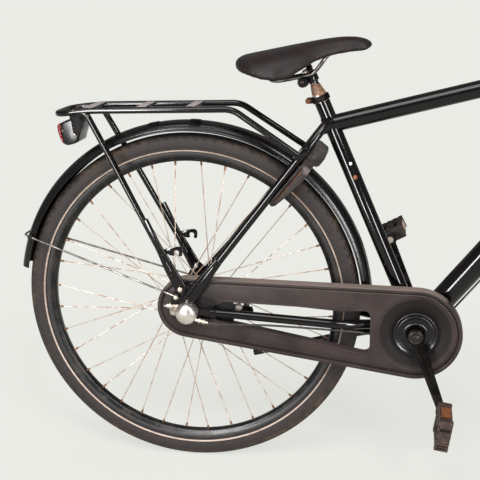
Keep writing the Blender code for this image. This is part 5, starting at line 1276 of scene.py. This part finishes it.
def lock_finish():
    plastic = Finish("lock_plastic", linear(58, 50, 48), 0.5, Specular_IOR_Level=0.2)
    here = plastic.place()
    grime = plastic.between(plastic.noise(here, 48.0, 6.0, 0.6), 0.36, 0.66)
    rub = plastic.between(plastic.noise(here, 230.0, 4.0, 0.6), 0.56, 0.72)
    x, y, z = plastic.axes(plastic.place(tuple(lock_spot(0.36, -0.058, -0.002))))
    worn = (1 - plastic.between((x * x + z * z) ** 0.5, 0.004, 0.012)) * (1 - plastic.between(y, 0.003,
        0.008))
    facing = plastic.facing()
    colour = plastic.mix(grime, linear(66, 56, 54), linear(40, 33, 31))
    colour = plastic.mix(rub * 0.3, colour, linear(118, 96, 84))
    colour = plastic.mix(worn * 0.55, colour, linear(150, 138, 136))
    # Painted highlight: faces that look up are painted paler, for the light falling on them from above.
    colour = plastic.mix(plastic.between(facing, 0.45, 0.9) * 0.6, colour, linear(136, 122, 118))
    plastic.give(Base_Color=colour, Roughness=grime * 0.2 + 0.42,
        Normal=plastic.bump(rub + grime * 0.4, 0.00025))
    return plastic.material


def lock_slab(name, corners, low, high, across=False):
    """An outline in the lock's plane, or across its thickness, made thick along the other way."""
    if across:
        points, step = [lock_spot(out, low, thick) for out, thick in corners], Vector((0, high - low, 0))
    else:
        points = [lock_spot(out, y, low) for out, y in corners]
        step = lock_spot(0, 0, high) - lock_spot(0, 0, low)
    return extruded(name, points, step)


LOCK_PLASTIC = lock_finish()
outer_half = [(0.262, 0.046), (0.264, 0.056), (0.275, 0.06), (0.3, 0.0625), (0.348, 0.059), (0.362, 0.053),
    (0.37, 0.045), (0.3725, 0.033)]
inner_half = [(0.27, 0.041), (0.33, 0.04), (0.35, 0.03), (0.3592, 0.022)]
horseshoe = outer_half + mirrored(outer_half)
horseshoe += [(out, -y) for out, y in inner_half] + inner_half[::-1]
lock = lock_slab("ring_lock_horseshoe", horseshoe, -0.012, 0.0116)
crescent = [(0.395, -0.008), (0.3691, -0.0078), (0.3402, -0.01), (0.3167, -0.0074), (0.2932, -0.0046),
    (0.2697, -0.0004), (0.263, 0.004), (0.264, 0.0096), (0.276, 0.0114), (0.395, 0.0114)]
combined(lock, lock_slab("crescent", crescent, -0.07, 0.07, True), "INTERSECT")
for side in (-1, 1):
    slot_cut = lock_slab("slot", [(0.274, 0.0036), (0.356, 0.0036), (0.356, 0.0072), (0.274, 0.0072)],
        side * 0.054, side * 0.066, True)
    combined(lock, slot_cut, "DIFFERENCE")
edged(lock, 0.0014, 3, 36)
finished(lock, LOCK_PLASTIC, "frame", "ring_lock_body", sharp=50, slot="lock_plastic")
for side in (-1, 1):
    strip = lock_slab("lock_inner_edge", [(0.276, 0.0038), (0.354, 0.0038), (0.354, 0.005), (0.276, 0.005)],
        side * 0.054, side * 0.0586, True)
    finished(edged(strip, 0.0004, 2), RUSTY, "frame", slot="rusty_steel")
key_box = lock_slab("lock_key_box", [(0.3747, 0.014), (0.3942, 0.015), (0.4008, 0.0117), (0.4011, -0.009),
    (0.3941, -0.0149), (0.3753, -0.0154), (0.37, -0.0112), (0.3696, -0.0047), (0.364, 0.0105)], -0.04, 0.04,
    True)
finished(edged(key_box, 0.003, 4), LOCK_PLASTIC, "frame", slot="lock_plastic")
face_plate = lock_slab("lock_face_plate", [(0.377, 0.004), (0.3925, 0.006), (0.395, 0.003), (0.395, -0.006),
    (0.39, -0.01), (0.378, -0.01)], -0.041, -0.0394, True)
finished(edged(face_plate, 0.0006, 2), LOCK_PLASTIC, "frame", slot="lock_plastic")
ARC_MIDDLE, ARC_RADIUS = 0.314, 0.05
arc = [lock_spot(ARC_MIDDLE + ARC_RADIUS * math.cos(math.radians(turn)),
    ARC_RADIUS * math.sin(math.radians(turn)), 0.0) for turn in range(-102, 39, 5)]
finished(bent_tube("lock_shackle_arc", arc, [(0.0, 0.0034), (0.02, 0.0042), (1.0, 0.0042)], 16), RUSTY,
    "lock_shackle", "ring_lock_bolt", slot="rusty_steel")


# Seat post, collar and clamp
# A plated post, brown with rust where it narrows to a black neck, held by a painted collar with a rusty
# bolt. A black steel clamp with a bolt through it grips the saddle's two wire rails.


def post_finish():
    steel = Finish("post_steel", linear(190, 184, 180), 0.2, 0.9)
    here = steel.place()
    height = steel.axes(here)[2]
    cone = steel.between(height, AXLE_Z + 0.3975, AXLE_Z + 0.4) * (1 - steel.between(height, AXLE_Z + 0.4195,
        AXLE_Z + 0.421))
    neck = steel.between(height, AXLE_Z + 0.4195, AXLE_Z + 0.421)
    rings = steel.between(steel.sine(height * 3600.0), 0.1, 0.9)
    rust = steel.between(steel.noise(here, 190.0, 5.0, 0.65), 0.38, 0.66)
    tan = steel.mix(rust, linear(176, 138, 110), linear(134, 80, 52))
    tan = steel.mix(rings * 0.35, tan, linear(92, 66, 50))
    colour = steel.mix(cone, linear(188, 180, 176), tan)
    colour = steel.mix(neck, colour, linear(24, 22, 23))
    steel.give(Base_Color=colour, Metallic=0.9 - cone * 0.75 - neck * 0.8, Roughness=cone * 0.35 + 0.18,
        Normal=steel.bump(rust * cone + rings * cone * 0.5, 0.0002))
    return steel.material


post_ends = [(z - 0.585) / upward.z for z in (0.732, 0.751, 0.7665)]
post = turned("seat_post_tube", seat_tube(0.585), upward, [(0.0, 0.0), (0.0135, 0.0), (0.0135, post_ends[0]),
    (0.0131, post_ends[0] + 0.0012), (0.0088, post_ends[1] - 0.0008), (0.008, post_ends[1]),
    (0.008, post_ends[2] - 0.0008), (0.0072, post_ends[2]), (0.0, post_ends[2])], 48, False)
finished(post, post_finish(), "seat_height", "seat_post", slot="rusty_steel")
COLLAR_PAINT = worn_enamel("collar_enamel")
collar = turned("seat_collar_band", seat_tube(0.7195), upward, [(0.0138, 0.001), (0.0164, 0.0008),
    (0.0172, 0.0016), (0.0172, 0.0104), (0.0164, 0.0114), (0.0138, 0.0114)], 48)
finished(collar, COLLAR_PAINT, "frame", "seat_collar", slot="gloss_black_paint")
for side in (-1, 1):
    ear = slab("collar_ear", [(0.2318, 0.718), (0.2345, 0.716), (0.242, 0.716), (0.2464, 0.718),
        (0.2464, 0.725), (0.242, 0.7262), (0.2345, 0.7258), (0.2318, 0.7236)], side * 0.0014, side * 0.0084)
    finished(edged(ear, 0.0009, 2), COLLAR_PAINT, "frame", slot="gloss_black_paint")
bolt_piece("collar_bolt", spot(0.2362, -0.0084, 0.7208), (0, -1, 0), 0.0038, 0.005, RUSTY, "frame",
    "rusty_steel")
CLAMP_BLACK = black_gloss("clamp_black", 0.3, 0.02)
clamp_middle = spot(0.229, 0, 0.757)
half_barrel = [(0.0, -0.0175), (0.0092, -0.0175), (0.0105, -0.0162), (0.0105, -0.01), (0.0098, -0.0092)]
barrel = turned("clamp_barrel", clamp_middle, (0, 1, 0), half_barrel + mirrored(half_barrel), 40, False)
finished(barrel, CLAMP_BLACK, "seat_height", "saddle_clamp", slot="rusty_steel")
sleeve = turned("clamp_sleeve", seat_tube(0.76), upward, [(0.0083, -0.0045), (0.011, -0.0045),
    (0.0115, -0.0038), (0.0115, 0.0096), (0.0108, 0.0105), (0.0083, 0.0105)], 40)
finished(sleeve, CLAMP_BLACK, "seat_height", slot="rusty_steel")
for side in (-1, 1):
    cheek = turned("clamp_cheek", clamp_middle, (0, side, 0), [(0.0, 0.0262), (0.0088, 0.0262),
        (0.0095, 0.0268), (0.0095, 0.0298), (0.0086, 0.0308), (0.007, 0.031), (0.0, 0.031)], 40, False)
    finished(cheek, CLAMP_BLACK, "seat_height", slot="rusty_steel")
    bolt_piece("clamp_nut", clamp_middle + Vector((0, side * 0.0306, 0)), (0, side, 0), 0.004, 0.004,
        DARK_BOLT, "seat_height", "rusty_steel")
finished(bent_tube("clamp_bolt", [clamp_middle - Vector((0, 0.03, 0)), clamp_middle + Vector((0, 0.03, 0))],
    0.004, 16), HUB_STEEL, "seat_height", slot="rusty_steel")
yoke = slab("clamp_yoke", [(0.233, 0.764), (0.247, 0.769), (0.244, 0.783), (0.24, 0.787), (0.235, 0.785),
    (0.233, 0.779), (0.227, 0.776), (0.225, 0.77)], -0.01, 0.01)
finished(edged(yoke, 0.0016, 3), CLAMP_BLACK, "seat_height", slot="rusty_steel")
bolt_piece("yoke_bolt", spot(0.233, -0.0098, 0.7745), (-0.2, -1, 0.3), 0.0034, 0.003, PALE_STEEL,
    "seat_height", "rusty_steel")
half_rail = [(0.15, 0.034, 0.7828), (0.172, 0.022, 0.76), (0.184, 0.022, 0.759), (0.215, 0.022, 0.764),
    (0.248, 0.022, 0.771), (0.261, 0.022, 0.787), (0.271, 0.018, 0.801), (0.29, 0.012, 0.812),
    (0.306, 0.006, 0.8165)]
path = [spot(x, -y, z) for x, y, z in half_rail] + [spot(x, y, z) for x, y, z in half_rail[::-1]]
rails = bent_tube("saddle_rail_wire", rounded(path, 0.01, 5), 0.0034, 16)
finished(rails, worn_steel("rail_steel", linear(120, 114, 112), linear(44, 40, 38), 0.03, 0.24), "saddle",
    "saddle_rails", slot="hub_steel")


# Saddle
# Foam under black vinyl, stretched over a hollow shell and drawn in under its edge. Smooth crown, wide
# tail, narrow nose, with the fine grain of the vinyl and a little dust.

SADDLE_ROWS = [(0.103, 0.022, 0.793, 0.7835), (0.1075, 0.04, 0.799, 0.78), (0.1165, 0.055, 0.803, 0.776),
    (0.137, 0.07, 0.807, 0.7695), (0.16, 0.0765, 0.811, 0.763), (0.185, 0.078, 0.8155, 0.7602),
    (0.21, 0.0725, 0.82, 0.7655), (0.232, 0.06, 0.8235, 0.7775), (0.255, 0.045, 0.8275, 0.7915),
    (0.277, 0.035, 0.8305, 0.8), (0.3, 0.028, 0.8327, 0.805), (0.323, 0.0235, 0.8327, 0.807),
    (0.342, 0.0195, 0.83, 0.8078), (0.3515, 0.014, 0.8255, 0.8095), (0.3555, 0.008, 0.821, 0.812)]
SADDLE_SECTION = [(0.0, 0.0), (0.2, 0.008), (0.4, 0.035), (0.58, 0.09), (0.74, 0.19), (0.87, 0.34),
    (0.95, 0.52), (0.99, 0.74), (0.995, 0.9), (0.96, 0.99), (0.9, 1.0)]


def saddle_row(x, half, crown, skirt):
    """One loop of the saddle: a domed top, a rolled edge and a hollow underside."""
    under = max(crown - 0.024, skirt + 0.004)
    side = [(half * share, crown - (crown - skirt) * drop) for share, drop in SADDLE_SECTION]
    side += [(half * 0.78, (skirt + under) / 2), (half * 0.66, under), (half * 0.33, under), (0.0, under)]
    loop = side + [(-y, z) for y, z in reversed(side[1:-1])]
    points = [spot(x, y, z) for y, z in loop]
    return outlined("saddle_row", points + points[:1], False)


pad = joined("saddle_pad", [saddle_row(*row) for row in SADDLE_ROWS])
activate(pad)
bpy.ops.object.mode_set(mode="EDIT")
bpy.ops.mesh.select_mode(type="VERT")
select_whole()
bpy.ops.mesh.remove_doubles(threshold=1e-6)
select_whole()
bpy.ops.mesh.bridge_edge_loops()
bpy.ops.mesh.select_all(action="DESELECT")
bpy.ops.mesh.select_non_manifold()
bpy.ops.mesh.fill_holes(sides=0)
select_whole()
bpy.ops.mesh.normals_make_consistent(inside=False)
shut()
modified(pad, "REMESH", mode="VOXEL", voxel_size=0.0035)
CRAMPED = 0.0022  # the farthest that the pressure may move the vinyl
start = [vertex.co.copy() for vertex in pad.data.vertices]
foam = pad.modifiers.new("foam", "CLOTH")
foam.settings.use_pressure = True
foam.settings.uniform_pressure_force = 4.0
foam.settings.effector_weights.gravity = 0.0
for step in range(1, 21):
    bpy.context.scene.frame_set(step)
bpy.ops.object.modifier_apply(modifier=foam.name)
for vertex, place in zip(pad.data.vertices, start):
    move = vertex.co - place
    if move.length > CRAMPED:
        vertex.co = place + move.normalized() * CRAMPED
bpy.context.scene.frame_set(1)
modified(pad, "SMOOTH", factor=0.5, iterations=18)
modified(pad, "SUBSURF", levels=1, render_levels=1)


def vinyl_finish():
    vinyl = Finish("saddle_vinyl", linear(38, 32, 34), 0.4, Specular_IOR_Level=0.17)
    here = vinyl.place()
    broad = vinyl.noise(here, 26.0, 4.0, 0.5)
    cells = vinyl.node("ShaderNodeTexVoronoi", {}, {"Vector": here, "Scale": 900.0})
    facing = vinyl.facing()
    colour = vinyl.mix(vinyl.between(broad, 0.3, 0.7), linear(38, 29, 30), linear(48, 38, 38))
    colour = vinyl.mix(vinyl.between(facing, 0.6, 1.0) * 0.15, colour, linear(56, 48, 48))
    vinyl.give(Base_Color=colour, Roughness=broad * 0.14 + 0.36, Normal=vinyl.bump(cells, 0.00018))
    return vinyl.material


finished(pad, vinyl_finish(), "saddle", "saddle_cushion", sharp=70, slot="saddle_vinyl")


# Stand
# A bent steel rod that folds up beside the left chain stay, with a short foot. It turns on a pin in a
# bracket bolted under the stays.

softened("stand_bracket", "kickstand_bracket", 0.001, FRAME_PAINT, "frame", slot="gloss_black_paint")
pivot, foot = spot(0.39, 0.023, 0.273), spot(0.112, 0.07, 0.1975)
bend = pivot + (foot - pivot) * 0.3 + Vector((0, 0.01, 0))
along = (foot - bend).normalized()
path = rounded([pivot - (bend - pivot).normalized() * 0.003, bend, foot + along * 0.004], 0.05, 8)
leg = bent_tube("stand_rod", path, [(0.0, 0.0075), (0.9, 0.007), (0.93, 0.0062), (1.0, 0.0066)], 20)
finished(edged(leg, 0.0012, 2, 60), FRAME_PAINT, "stand", "kickstand_leg", slot="gloss_black_paint")
down = spot(0.28, 0.128, 0.023)
axis = (foot - pivot).cross(down - pivot).normalized()
pin = turned("stand_pin", pivot, axis, [(0.0, -0.0095), (0.0052, -0.0095), (0.0058, -0.0088),
    (0.0058, -0.007), (0.003, -0.0066), (0.003, 0.0172), (0.0024, 0.018), (0.0, 0.018)], 24, False)
finished(pin, HUB_STEEL, "stand", slot="hub_steel")


# Gear cable
# A thin black cable from the adjuster at the hub, close under the right chain stay, round the crank
# bearing and up the down tube, then in one loop to the shifter.


def housing_finish():
    rubber = Finish("cable_housing", linear(30, 27, 27), 0.42)
    here = rubber.place()
    dirt = rubber.between(rubber.noise(here, 90.0, 5.0, 0.6), 0.42, 0.7)
    rubber.give(Base_Color=rubber.mix(dirt * 0.5, linear(30, 27, 27), linear(86, 72, 64)),
        Roughness=dirt * 0.3 + 0.38, Normal=rubber.bump(rubber.noise(here, 1200.0, 2.0), 0.0001))
    return rubber.material


HOUSING = housing_finish()
slope = Vector((0.766, 0, -0.643))
low = spot(0.46, -0.004, 0.3088) + slope * 0.0275
high = spot(0.735, -0.004, 0.6364) + slope * 0.0275
path = [spot(0.042, -0.078, 0.3105), spot(0.074, -0.0765, 0.3075), spot(0.11, -0.07, 0.306),
    spot(0.16, -0.064, 0.304), spot(0.23, -0.059, 0.2985), spot(0.29, -0.056, 0.2935),
    spot(0.34, -0.04, 0.285), spot(0.395, -0.03, 0.268), spot(0.432, -0.015, 0.264), spot(0.46, -0.008, 0.27),
    low, high]
finished(bent_tube("gear_cable_run", rounded(path, 0.02, 3), 0.002, 10), HOUSING, "frame", "gear_cable",
    slot="cable_housing")
bar_start, bar_end = spot(0.745, -0.218, 1.022), spot(0.6, -0.285, 1.016)
bar_line = (bar_end - bar_start).normalized()
path = [high + Vector((0.004, 0, 0.0045)), spot(0.798, -0.037, 0.686), spot(0.85, -0.075, 0.78),
    spot(0.87, -0.11, 0.87), spot(0.85, -0.165, 0.96), spot(0.8, -0.205, 0.995),
    bar_start + bar_line * 0.015 + Vector((0.014, 0.0065, -0.014))]
finished(bent_tube("gear_cable_bow", rounded(path, 0.05, 5), 0.0025, 12), HOUSING, "frame", "gear_cable_loop",
    slot="cable_housing")


# Fork and headset
# Raked steel blades brazed into a round crown, with pressed ends. The steerer turns in two cups pressed
# into the head tube, under a locknut.


STEER_FOOT, AXLE_HEIGHT = 0.9564, 0.332
STEER_LEAN, STEER_RISE = 0.3584, 0.9336  # direction of the steering axis, backwards and up


def steer(along, forward=0.0, y=0.0):
    """Place on the steering axis's own line: up along it from the axle's height, and forward of it."""
    return spot(STEER_FOOT + STEER_RISE * forward - STEER_LEAN * along, y,
        AXLE_HEIGHT + STEER_RISE * along + STEER_LEAN * forward)


steer_up = (steer(1.0) - steer(0.0)).normalized()
base = steer(0.336)
column = turned("fork_column", base, steer_up, [(0.0115, 0.0), (0.019, 0.0), (0.02, 0.0012), (0.02, 0.0208),
    (0.019, 0.022), (0.0155, 0.0265), (0.0127, 0.027), (0.0127, 0.1981), (0.018, 0.1981), (0.0185, 0.199),
    (0.0185, 0.212), (0.0175, 0.2141), (0.015, 0.2181), (0.0127, 0.2184), (0.0127, 0.2195), (0.012, 0.22),
    (0.0115, 0.22)], 48)
finished(column, FRAME_PAINT, "steered_front", "fork", slot="gloss_black_paint")
crown = bent_tube("fork_crown", [steer(0.343, 0, -0.047), steer(0.347, 0, -0.03), steer(0.347, 0, 0.03),
    steer(0.343, 0, 0.047)], [(0.0, 0.013), (0.18, 0.0145), (0.82, 0.0145), (1.0, 0.013)], 32)
bore = turned("bore", steer(0.3), steer_up, [(0.0, 0.0), (0.0116, 0.0), (0.0116, 0.12), (0.0, 0.12)], 32,
    False)
finished(edged(combined(crown, bore, "DIFFERENCE"), 0.001, 2, 50), FRAME_PAINT, "steered_front",
    slot="gloss_black_paint")
for side in (-1, 1):
    places = [(0.35, 0.0, 0.042), (0.15, 0.0, 0.047), (0.095, 0.006, 0.0495), (0.05, 0.018, 0.052),
        (0.018, 0.033, 0.0535), (-0.004, 0.0445, 0.054)]
    path = rounded([steer(up_by, ahead_by, side * y) for up_by, ahead_by, y in places], 0.03, 4)
    blade = bent_tube("fork_blade", path, [(0.0, 0.0125), (0.5, 0.0115), (0.72, 0.0102), (0.86, 0.0088),
        (0.95, 0.0078), (1.0, 0.0062)], 28)
    finished(edged(blade, 0.0012, 2, 60), FRAME_PAINT, "steered_front", slot="gloss_black_paint")
    tip = [(-0.011, 0.358), (-0.025, 0.346), (-0.012, 0.327), (-0.0053, 0.319), (-0.0053, 0.3373),
        (0.0053, 0.3373), (0.0053, 0.319), (0.011, 0.322), (0.012, 0.338), (0.006, 0.356)]
    end = slab("fork_end", [(1.01 + x, z) for x, z in tip], side * 0.05, side * 0.054)
    finished(edged(end, 0.001, 2), FRAME_PAINT, "steered_front", slot="gloss_black_paint")
low_cup = turned("headset_low_cup", steer(0.3632), steer_up, [(0.016, 0.0), (0.0205, 0.0), (0.0215, 0.0012),
    (0.0215, 0.0112), (0.0207, 0.012), (0.016, 0.012), (0.016, 0.0238), (0.0137, 0.024), (0.0137, 0.001)], 48)
finished(low_cup, HUB_STEEL, "frame", "lower_headset_cup", slot="hub_steel")
high_cup = turned("headset_high_cup", steer(0.5096), steer_up, [(0.0137, 0.0), (0.016, 0.0002),
    (0.016, 0.0123), (0.0208, 0.0123), (0.0215, 0.0132), (0.0212, 0.017), (0.02, 0.0236), (0.019, 0.024),
    (0.0137, 0.024)], 48)
finished(high_cup, HUB_STEEL, "frame", "upper_headset_cup", slot="hub_steel")


# Stem and handlebar
# A chromed quill stem with a round clamp, and a steel bar that rises and sweeps back to the grips.

bar_middle = spot(0.787, 0, 0.97)
quill = turned("stem_quill", steer(0.49), steer_up, [(0.0, 0.0), (0.0104, 0.0), (0.011, 0.0008),
    (0.011, 0.17), (0.0135, 0.172), (0.0135, 0.192), (0.0128, 0.1938), (0.006, 0.1945), (0.0052, 0.193),
    (0.0, 0.193)], 40, False)
finished(quill, CHROME, "bars", "stem", slot="polished_cover")
arm = bent_tube("stem_arm", [steer(0.672), steer(0.672).lerp(bar_middle, 0.5), bar_middle],
    [(0.0, 0.0125), (0.5, 0.0112), (1.0, 0.012)], 28)
sleeve = bent_tube("sleeve", [bar_middle - Vector((0, 0.021, 0)), bar_middle + Vector((0, 0.021, 0))], 0.018,
    40)
combined(arm, sleeve, "UNION")
bore = bent_tube("bore", [bar_middle - Vector((0, 0.05, 0)), bar_middle + Vector((0, 0.05, 0))], 0.0113, 40)
finished(edged(combined(arm, bore, "DIFFERENCE"), 0.001, 2, 50), CHROME, "bars", slot="polished_cover")
bolt_piece("stem_clamp_bolt", bar_middle + Vector((0.004, 0, -0.0182)), (0.2, 0, -1), 0.0048, 0.005,
    PALE_STEEL, "bars", "hub_steel")
half_bar = [bar_middle, spot(0.787, 0.05, 0.97), spot(0.812, 0.105, 0.995), spot(0.802, 0.165, 1.022),
    spot(0.745, 0.218, 1.022), spot(0.6, 0.285, 1.016)]
path = [Vector((point.x, -point.y, point.z)) for point in half_bar[:0:-1]] + half_bar
bends = [0.025, 0.035, 0.035, 0.016]
bar = bent_tube("handlebar_tube", rounded(path, bends + [0.01] + bends[::-1], 8), 0.011, 28)
finished(bar, CHROME, "bars", "handlebar", slot="polished_cover")


# Grips and gear shifter
# Soft rubber grips with a flange at each end and rings along them. The right one is shorter, and the
# ribbed twist grip of the gear shifter turns beside its housing.


def grip_finish():
    rubber = Finish("grip_rubber", linear(34, 31, 31), 0.62)
    here = rubber.place()
    shine = rubber.between(rubber.noise(here, 70.0, 5.0, 0.6), 0.4, 0.7)
    rubber.give(Base_Color=rubber.mix(shine * 0.6, linear(34, 31, 31), linear(58, 51, 49)),
        Roughness=0.66 - shine * 0.16, Normal=rubber.bump(rubber.noise(here, 1500.0, 3.0), 0.0002))
    return rubber.material


GRIP_RUBBER = grip_finish()
reach = (bar_end - bar_start).length
for side, word, begin in ((1, "left", 0.04), (-1, "right", 0.066)):
    start = Vector((bar_start.x, side * abs(bar_start.y), bar_start.z))
    line = Vector((bar_line.x, side * abs(bar_line.y), bar_line.z))
    profile = [(0.0111, begin), (0.0168, begin), (0.0172, begin + 0.001), (0.0168, begin + 0.003)]
    rings = int((reach - 0.01 - begin) / 0.0075)
    for k in range(1, rings):
        here = begin + 0.003 + k * 0.0075
        profile += [(0.0155, here - 0.0018), (0.0158, here - 0.001), (0.015, here), (0.015, here + 0.0014),
            (0.0158, here + 0.0024)]
    profile += [(0.0155, reach - 0.002), (0.0175, reach + 0.0004), (0.0174, reach + 0.003),
        (0.0165, reach + 0.004), (0.0, reach + 0.004), (0.0, reach + 0.0004), (0.0111, reach + 0.0004)]
    grip = turned(f"grip_{word}_rubber", start, line, profile, 40)
    finished(grip, GRIP_RUBBER, "bars", f"grip_{word}", slot="grip_rubber")
shell = turned("shifter_shell", bar_start, bar_line, [(0.0111, 0.018), (0.019, 0.018), (0.02, 0.0188),
    (0.021, 0.0215), (0.021, 0.0326), (0.0203, 0.0335), (0.0111, 0.0335)], 48)
finished(shell, HOUSING, "bars", "shifter_housing", slot="grip_rubber")
twist = turned("shifter_twist", bar_start, bar_line, [(0.0111, 0.0342), (0.0198, 0.0342), (0.0205, 0.035),
    (0.0205, 0.0414), (0.0182, 0.0436), (0.0176, 0.0632), (0.0168, 0.064), (0.0111, 0.064)], 48)


def is_rib(face):
    along_bar = (face.center - bar_start).dot(bar_line)
    off_bar = (face.center - bar_start - bar_line * along_bar).length
    return 0.0436 < along_bar < 0.0632 and off_bar > 0.017 and face.index % 2 == 0


pick(twist, is_rib)
bpy.ops.mesh.inset(thickness=0.0004, depth=0.0009)
shut()
finished(twist, GRIP_RUBBER, "shifter_grip", "twist_shifter", sharp=30, slot="grip_rubber")


# Bell
# A small chromed dome on a post, held to the bar by a band.

band = turned("bell_band", spot(0.787, 0.022, 0.97), (0, 1, 0), [(0.0113, 0.0), (0.0138, 0.0),
    (0.0145, 0.0008), (0.0145, 0.0092), (0.0138, 0.01), (0.0113, 0.01)], 40)
stalk = turned("bell_stalk", spot(0.787, 0.027, 0.9835), (0, 0, 1), [(0.0, 0.0), (0.007, 0.0), (0.007, 0.003),
    (0.0044, 0.004), (0.004, 0.015), (0.004, 0.0168), (0.0034, 0.0175), (0.0, 0.0175)], 28, False)
finished(joined("bell_foot", [band, stalk]), CHROME, "bars", "bell_clamp", slot="polished_cover")
dome = turned("bell_bowl", spot(0.787, 0.027, 0.99), (0, 0, 1), [(0.0045, 0.0115), (0.0045, 0.0166),
    (0.0052, 0.017), (0.011, 0.0166), (0.016, 0.0154), (0.0205, 0.013), (0.024, 0.0088), (0.0257, 0.0042),
    (0.0264, 0.0004), (0.026, -0.0004), (0.025, 0.0), (0.0244, 0.004), (0.0228, 0.0082), (0.019, 0.012),
    (0.014, 0.0143)], 56)
finished(dome, CHROME, "bars", "bell_dome", slot="polished_cover")


# Front lamp
# A round black lamp with a clear ribbed glass and a bright rim, on an arm from the fork's crown.


def clear_glass():
    glass = Finish("lamp_glass", linear(214, 216, 214), 0.08, 0.3, Coat_Weight=1.0)
    here = glass.place()
    flutes = glass.sine(glass.axes(here)[1] * 1600.0)
    glass.give(Base_Color=glass.mix(glass.between(flutes, -0.6, 0.8), linear(226, 228, 226),
        linear(150, 152, 150)), Normal=glass.bump(flutes, 0.0004))
    return glass.material


lamp_middle, lamp_line = steer(0.372, 0.068), Vector((0.97, 0, -0.24)).normalized()
body = turned("front_lamp_body", lamp_middle, lamp_line, [(0.0, -0.032), (0.007, -0.0316), (0.013, -0.03),
    (0.019, -0.024), (0.0238, -0.0165), (0.0262, -0.009), (0.0272, 0.0), (0.0272, 0.0062), (0.0262, 0.0066),
    (0.0, 0.0066)], 48, False)
lamp_arm = bent_tube("front_lamp_arm", [steer(0.348, 0.02), steer(0.352, 0.036), steer(0.362, 0.05)], 0.0045,
    16)
finished(joined("front_lamp_shell", [body, lamp_arm]), LAMP_BLACK, "steered_front", "front_lamp",
    slot="lock_plastic")
rim = turned("front_lamp_rim", lamp_middle, lamp_line, [(0.024, 0.006), (0.027, 0.006), (0.0276, 0.0068),
    (0.0276, 0.0094), (0.0268, 0.01), (0.024, 0.01)], 48)
finished(rim, CHROME, "steered_front", slot="polished_cover")
glass = turned("front_lamp_glass", lamp_middle, lamp_line, [(0.0, 0.0066), (0.0242, 0.0066), (0.0242, 0.008),
    (0.018, 0.0092), (0.009, 0.0098), (0.0, 0.01)], 48, False)
finished(glass, clear_glass(), "steered_front", slot="lock_plastic")


# Front hub
# A narrow steel hub with two spoke flanges, between the fork's ends on a threaded axle.

half_hub = [(0.0056, -0.043), (0.0124, -0.043), (0.013, -0.0424), (0.014, -0.036), (0.0214, -0.0347),
    (0.022, -0.0341), (0.022, -0.032), (0.0214, -0.0314), (0.012, -0.028), (0.0108, -0.024)]
front_hub = turned("front_hub_barrel", (FRONT_AXLE_X, 0, AXLE_Z), (0, 1, 0), half_hub + mirrored(half_hub),
    48)
finished(front_hub, HUB_STEEL, "front_wheel", "front_hub_shell", slot="hub_steel")

size = {"cad": cad_box, "visual": [list(corner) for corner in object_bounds()]}
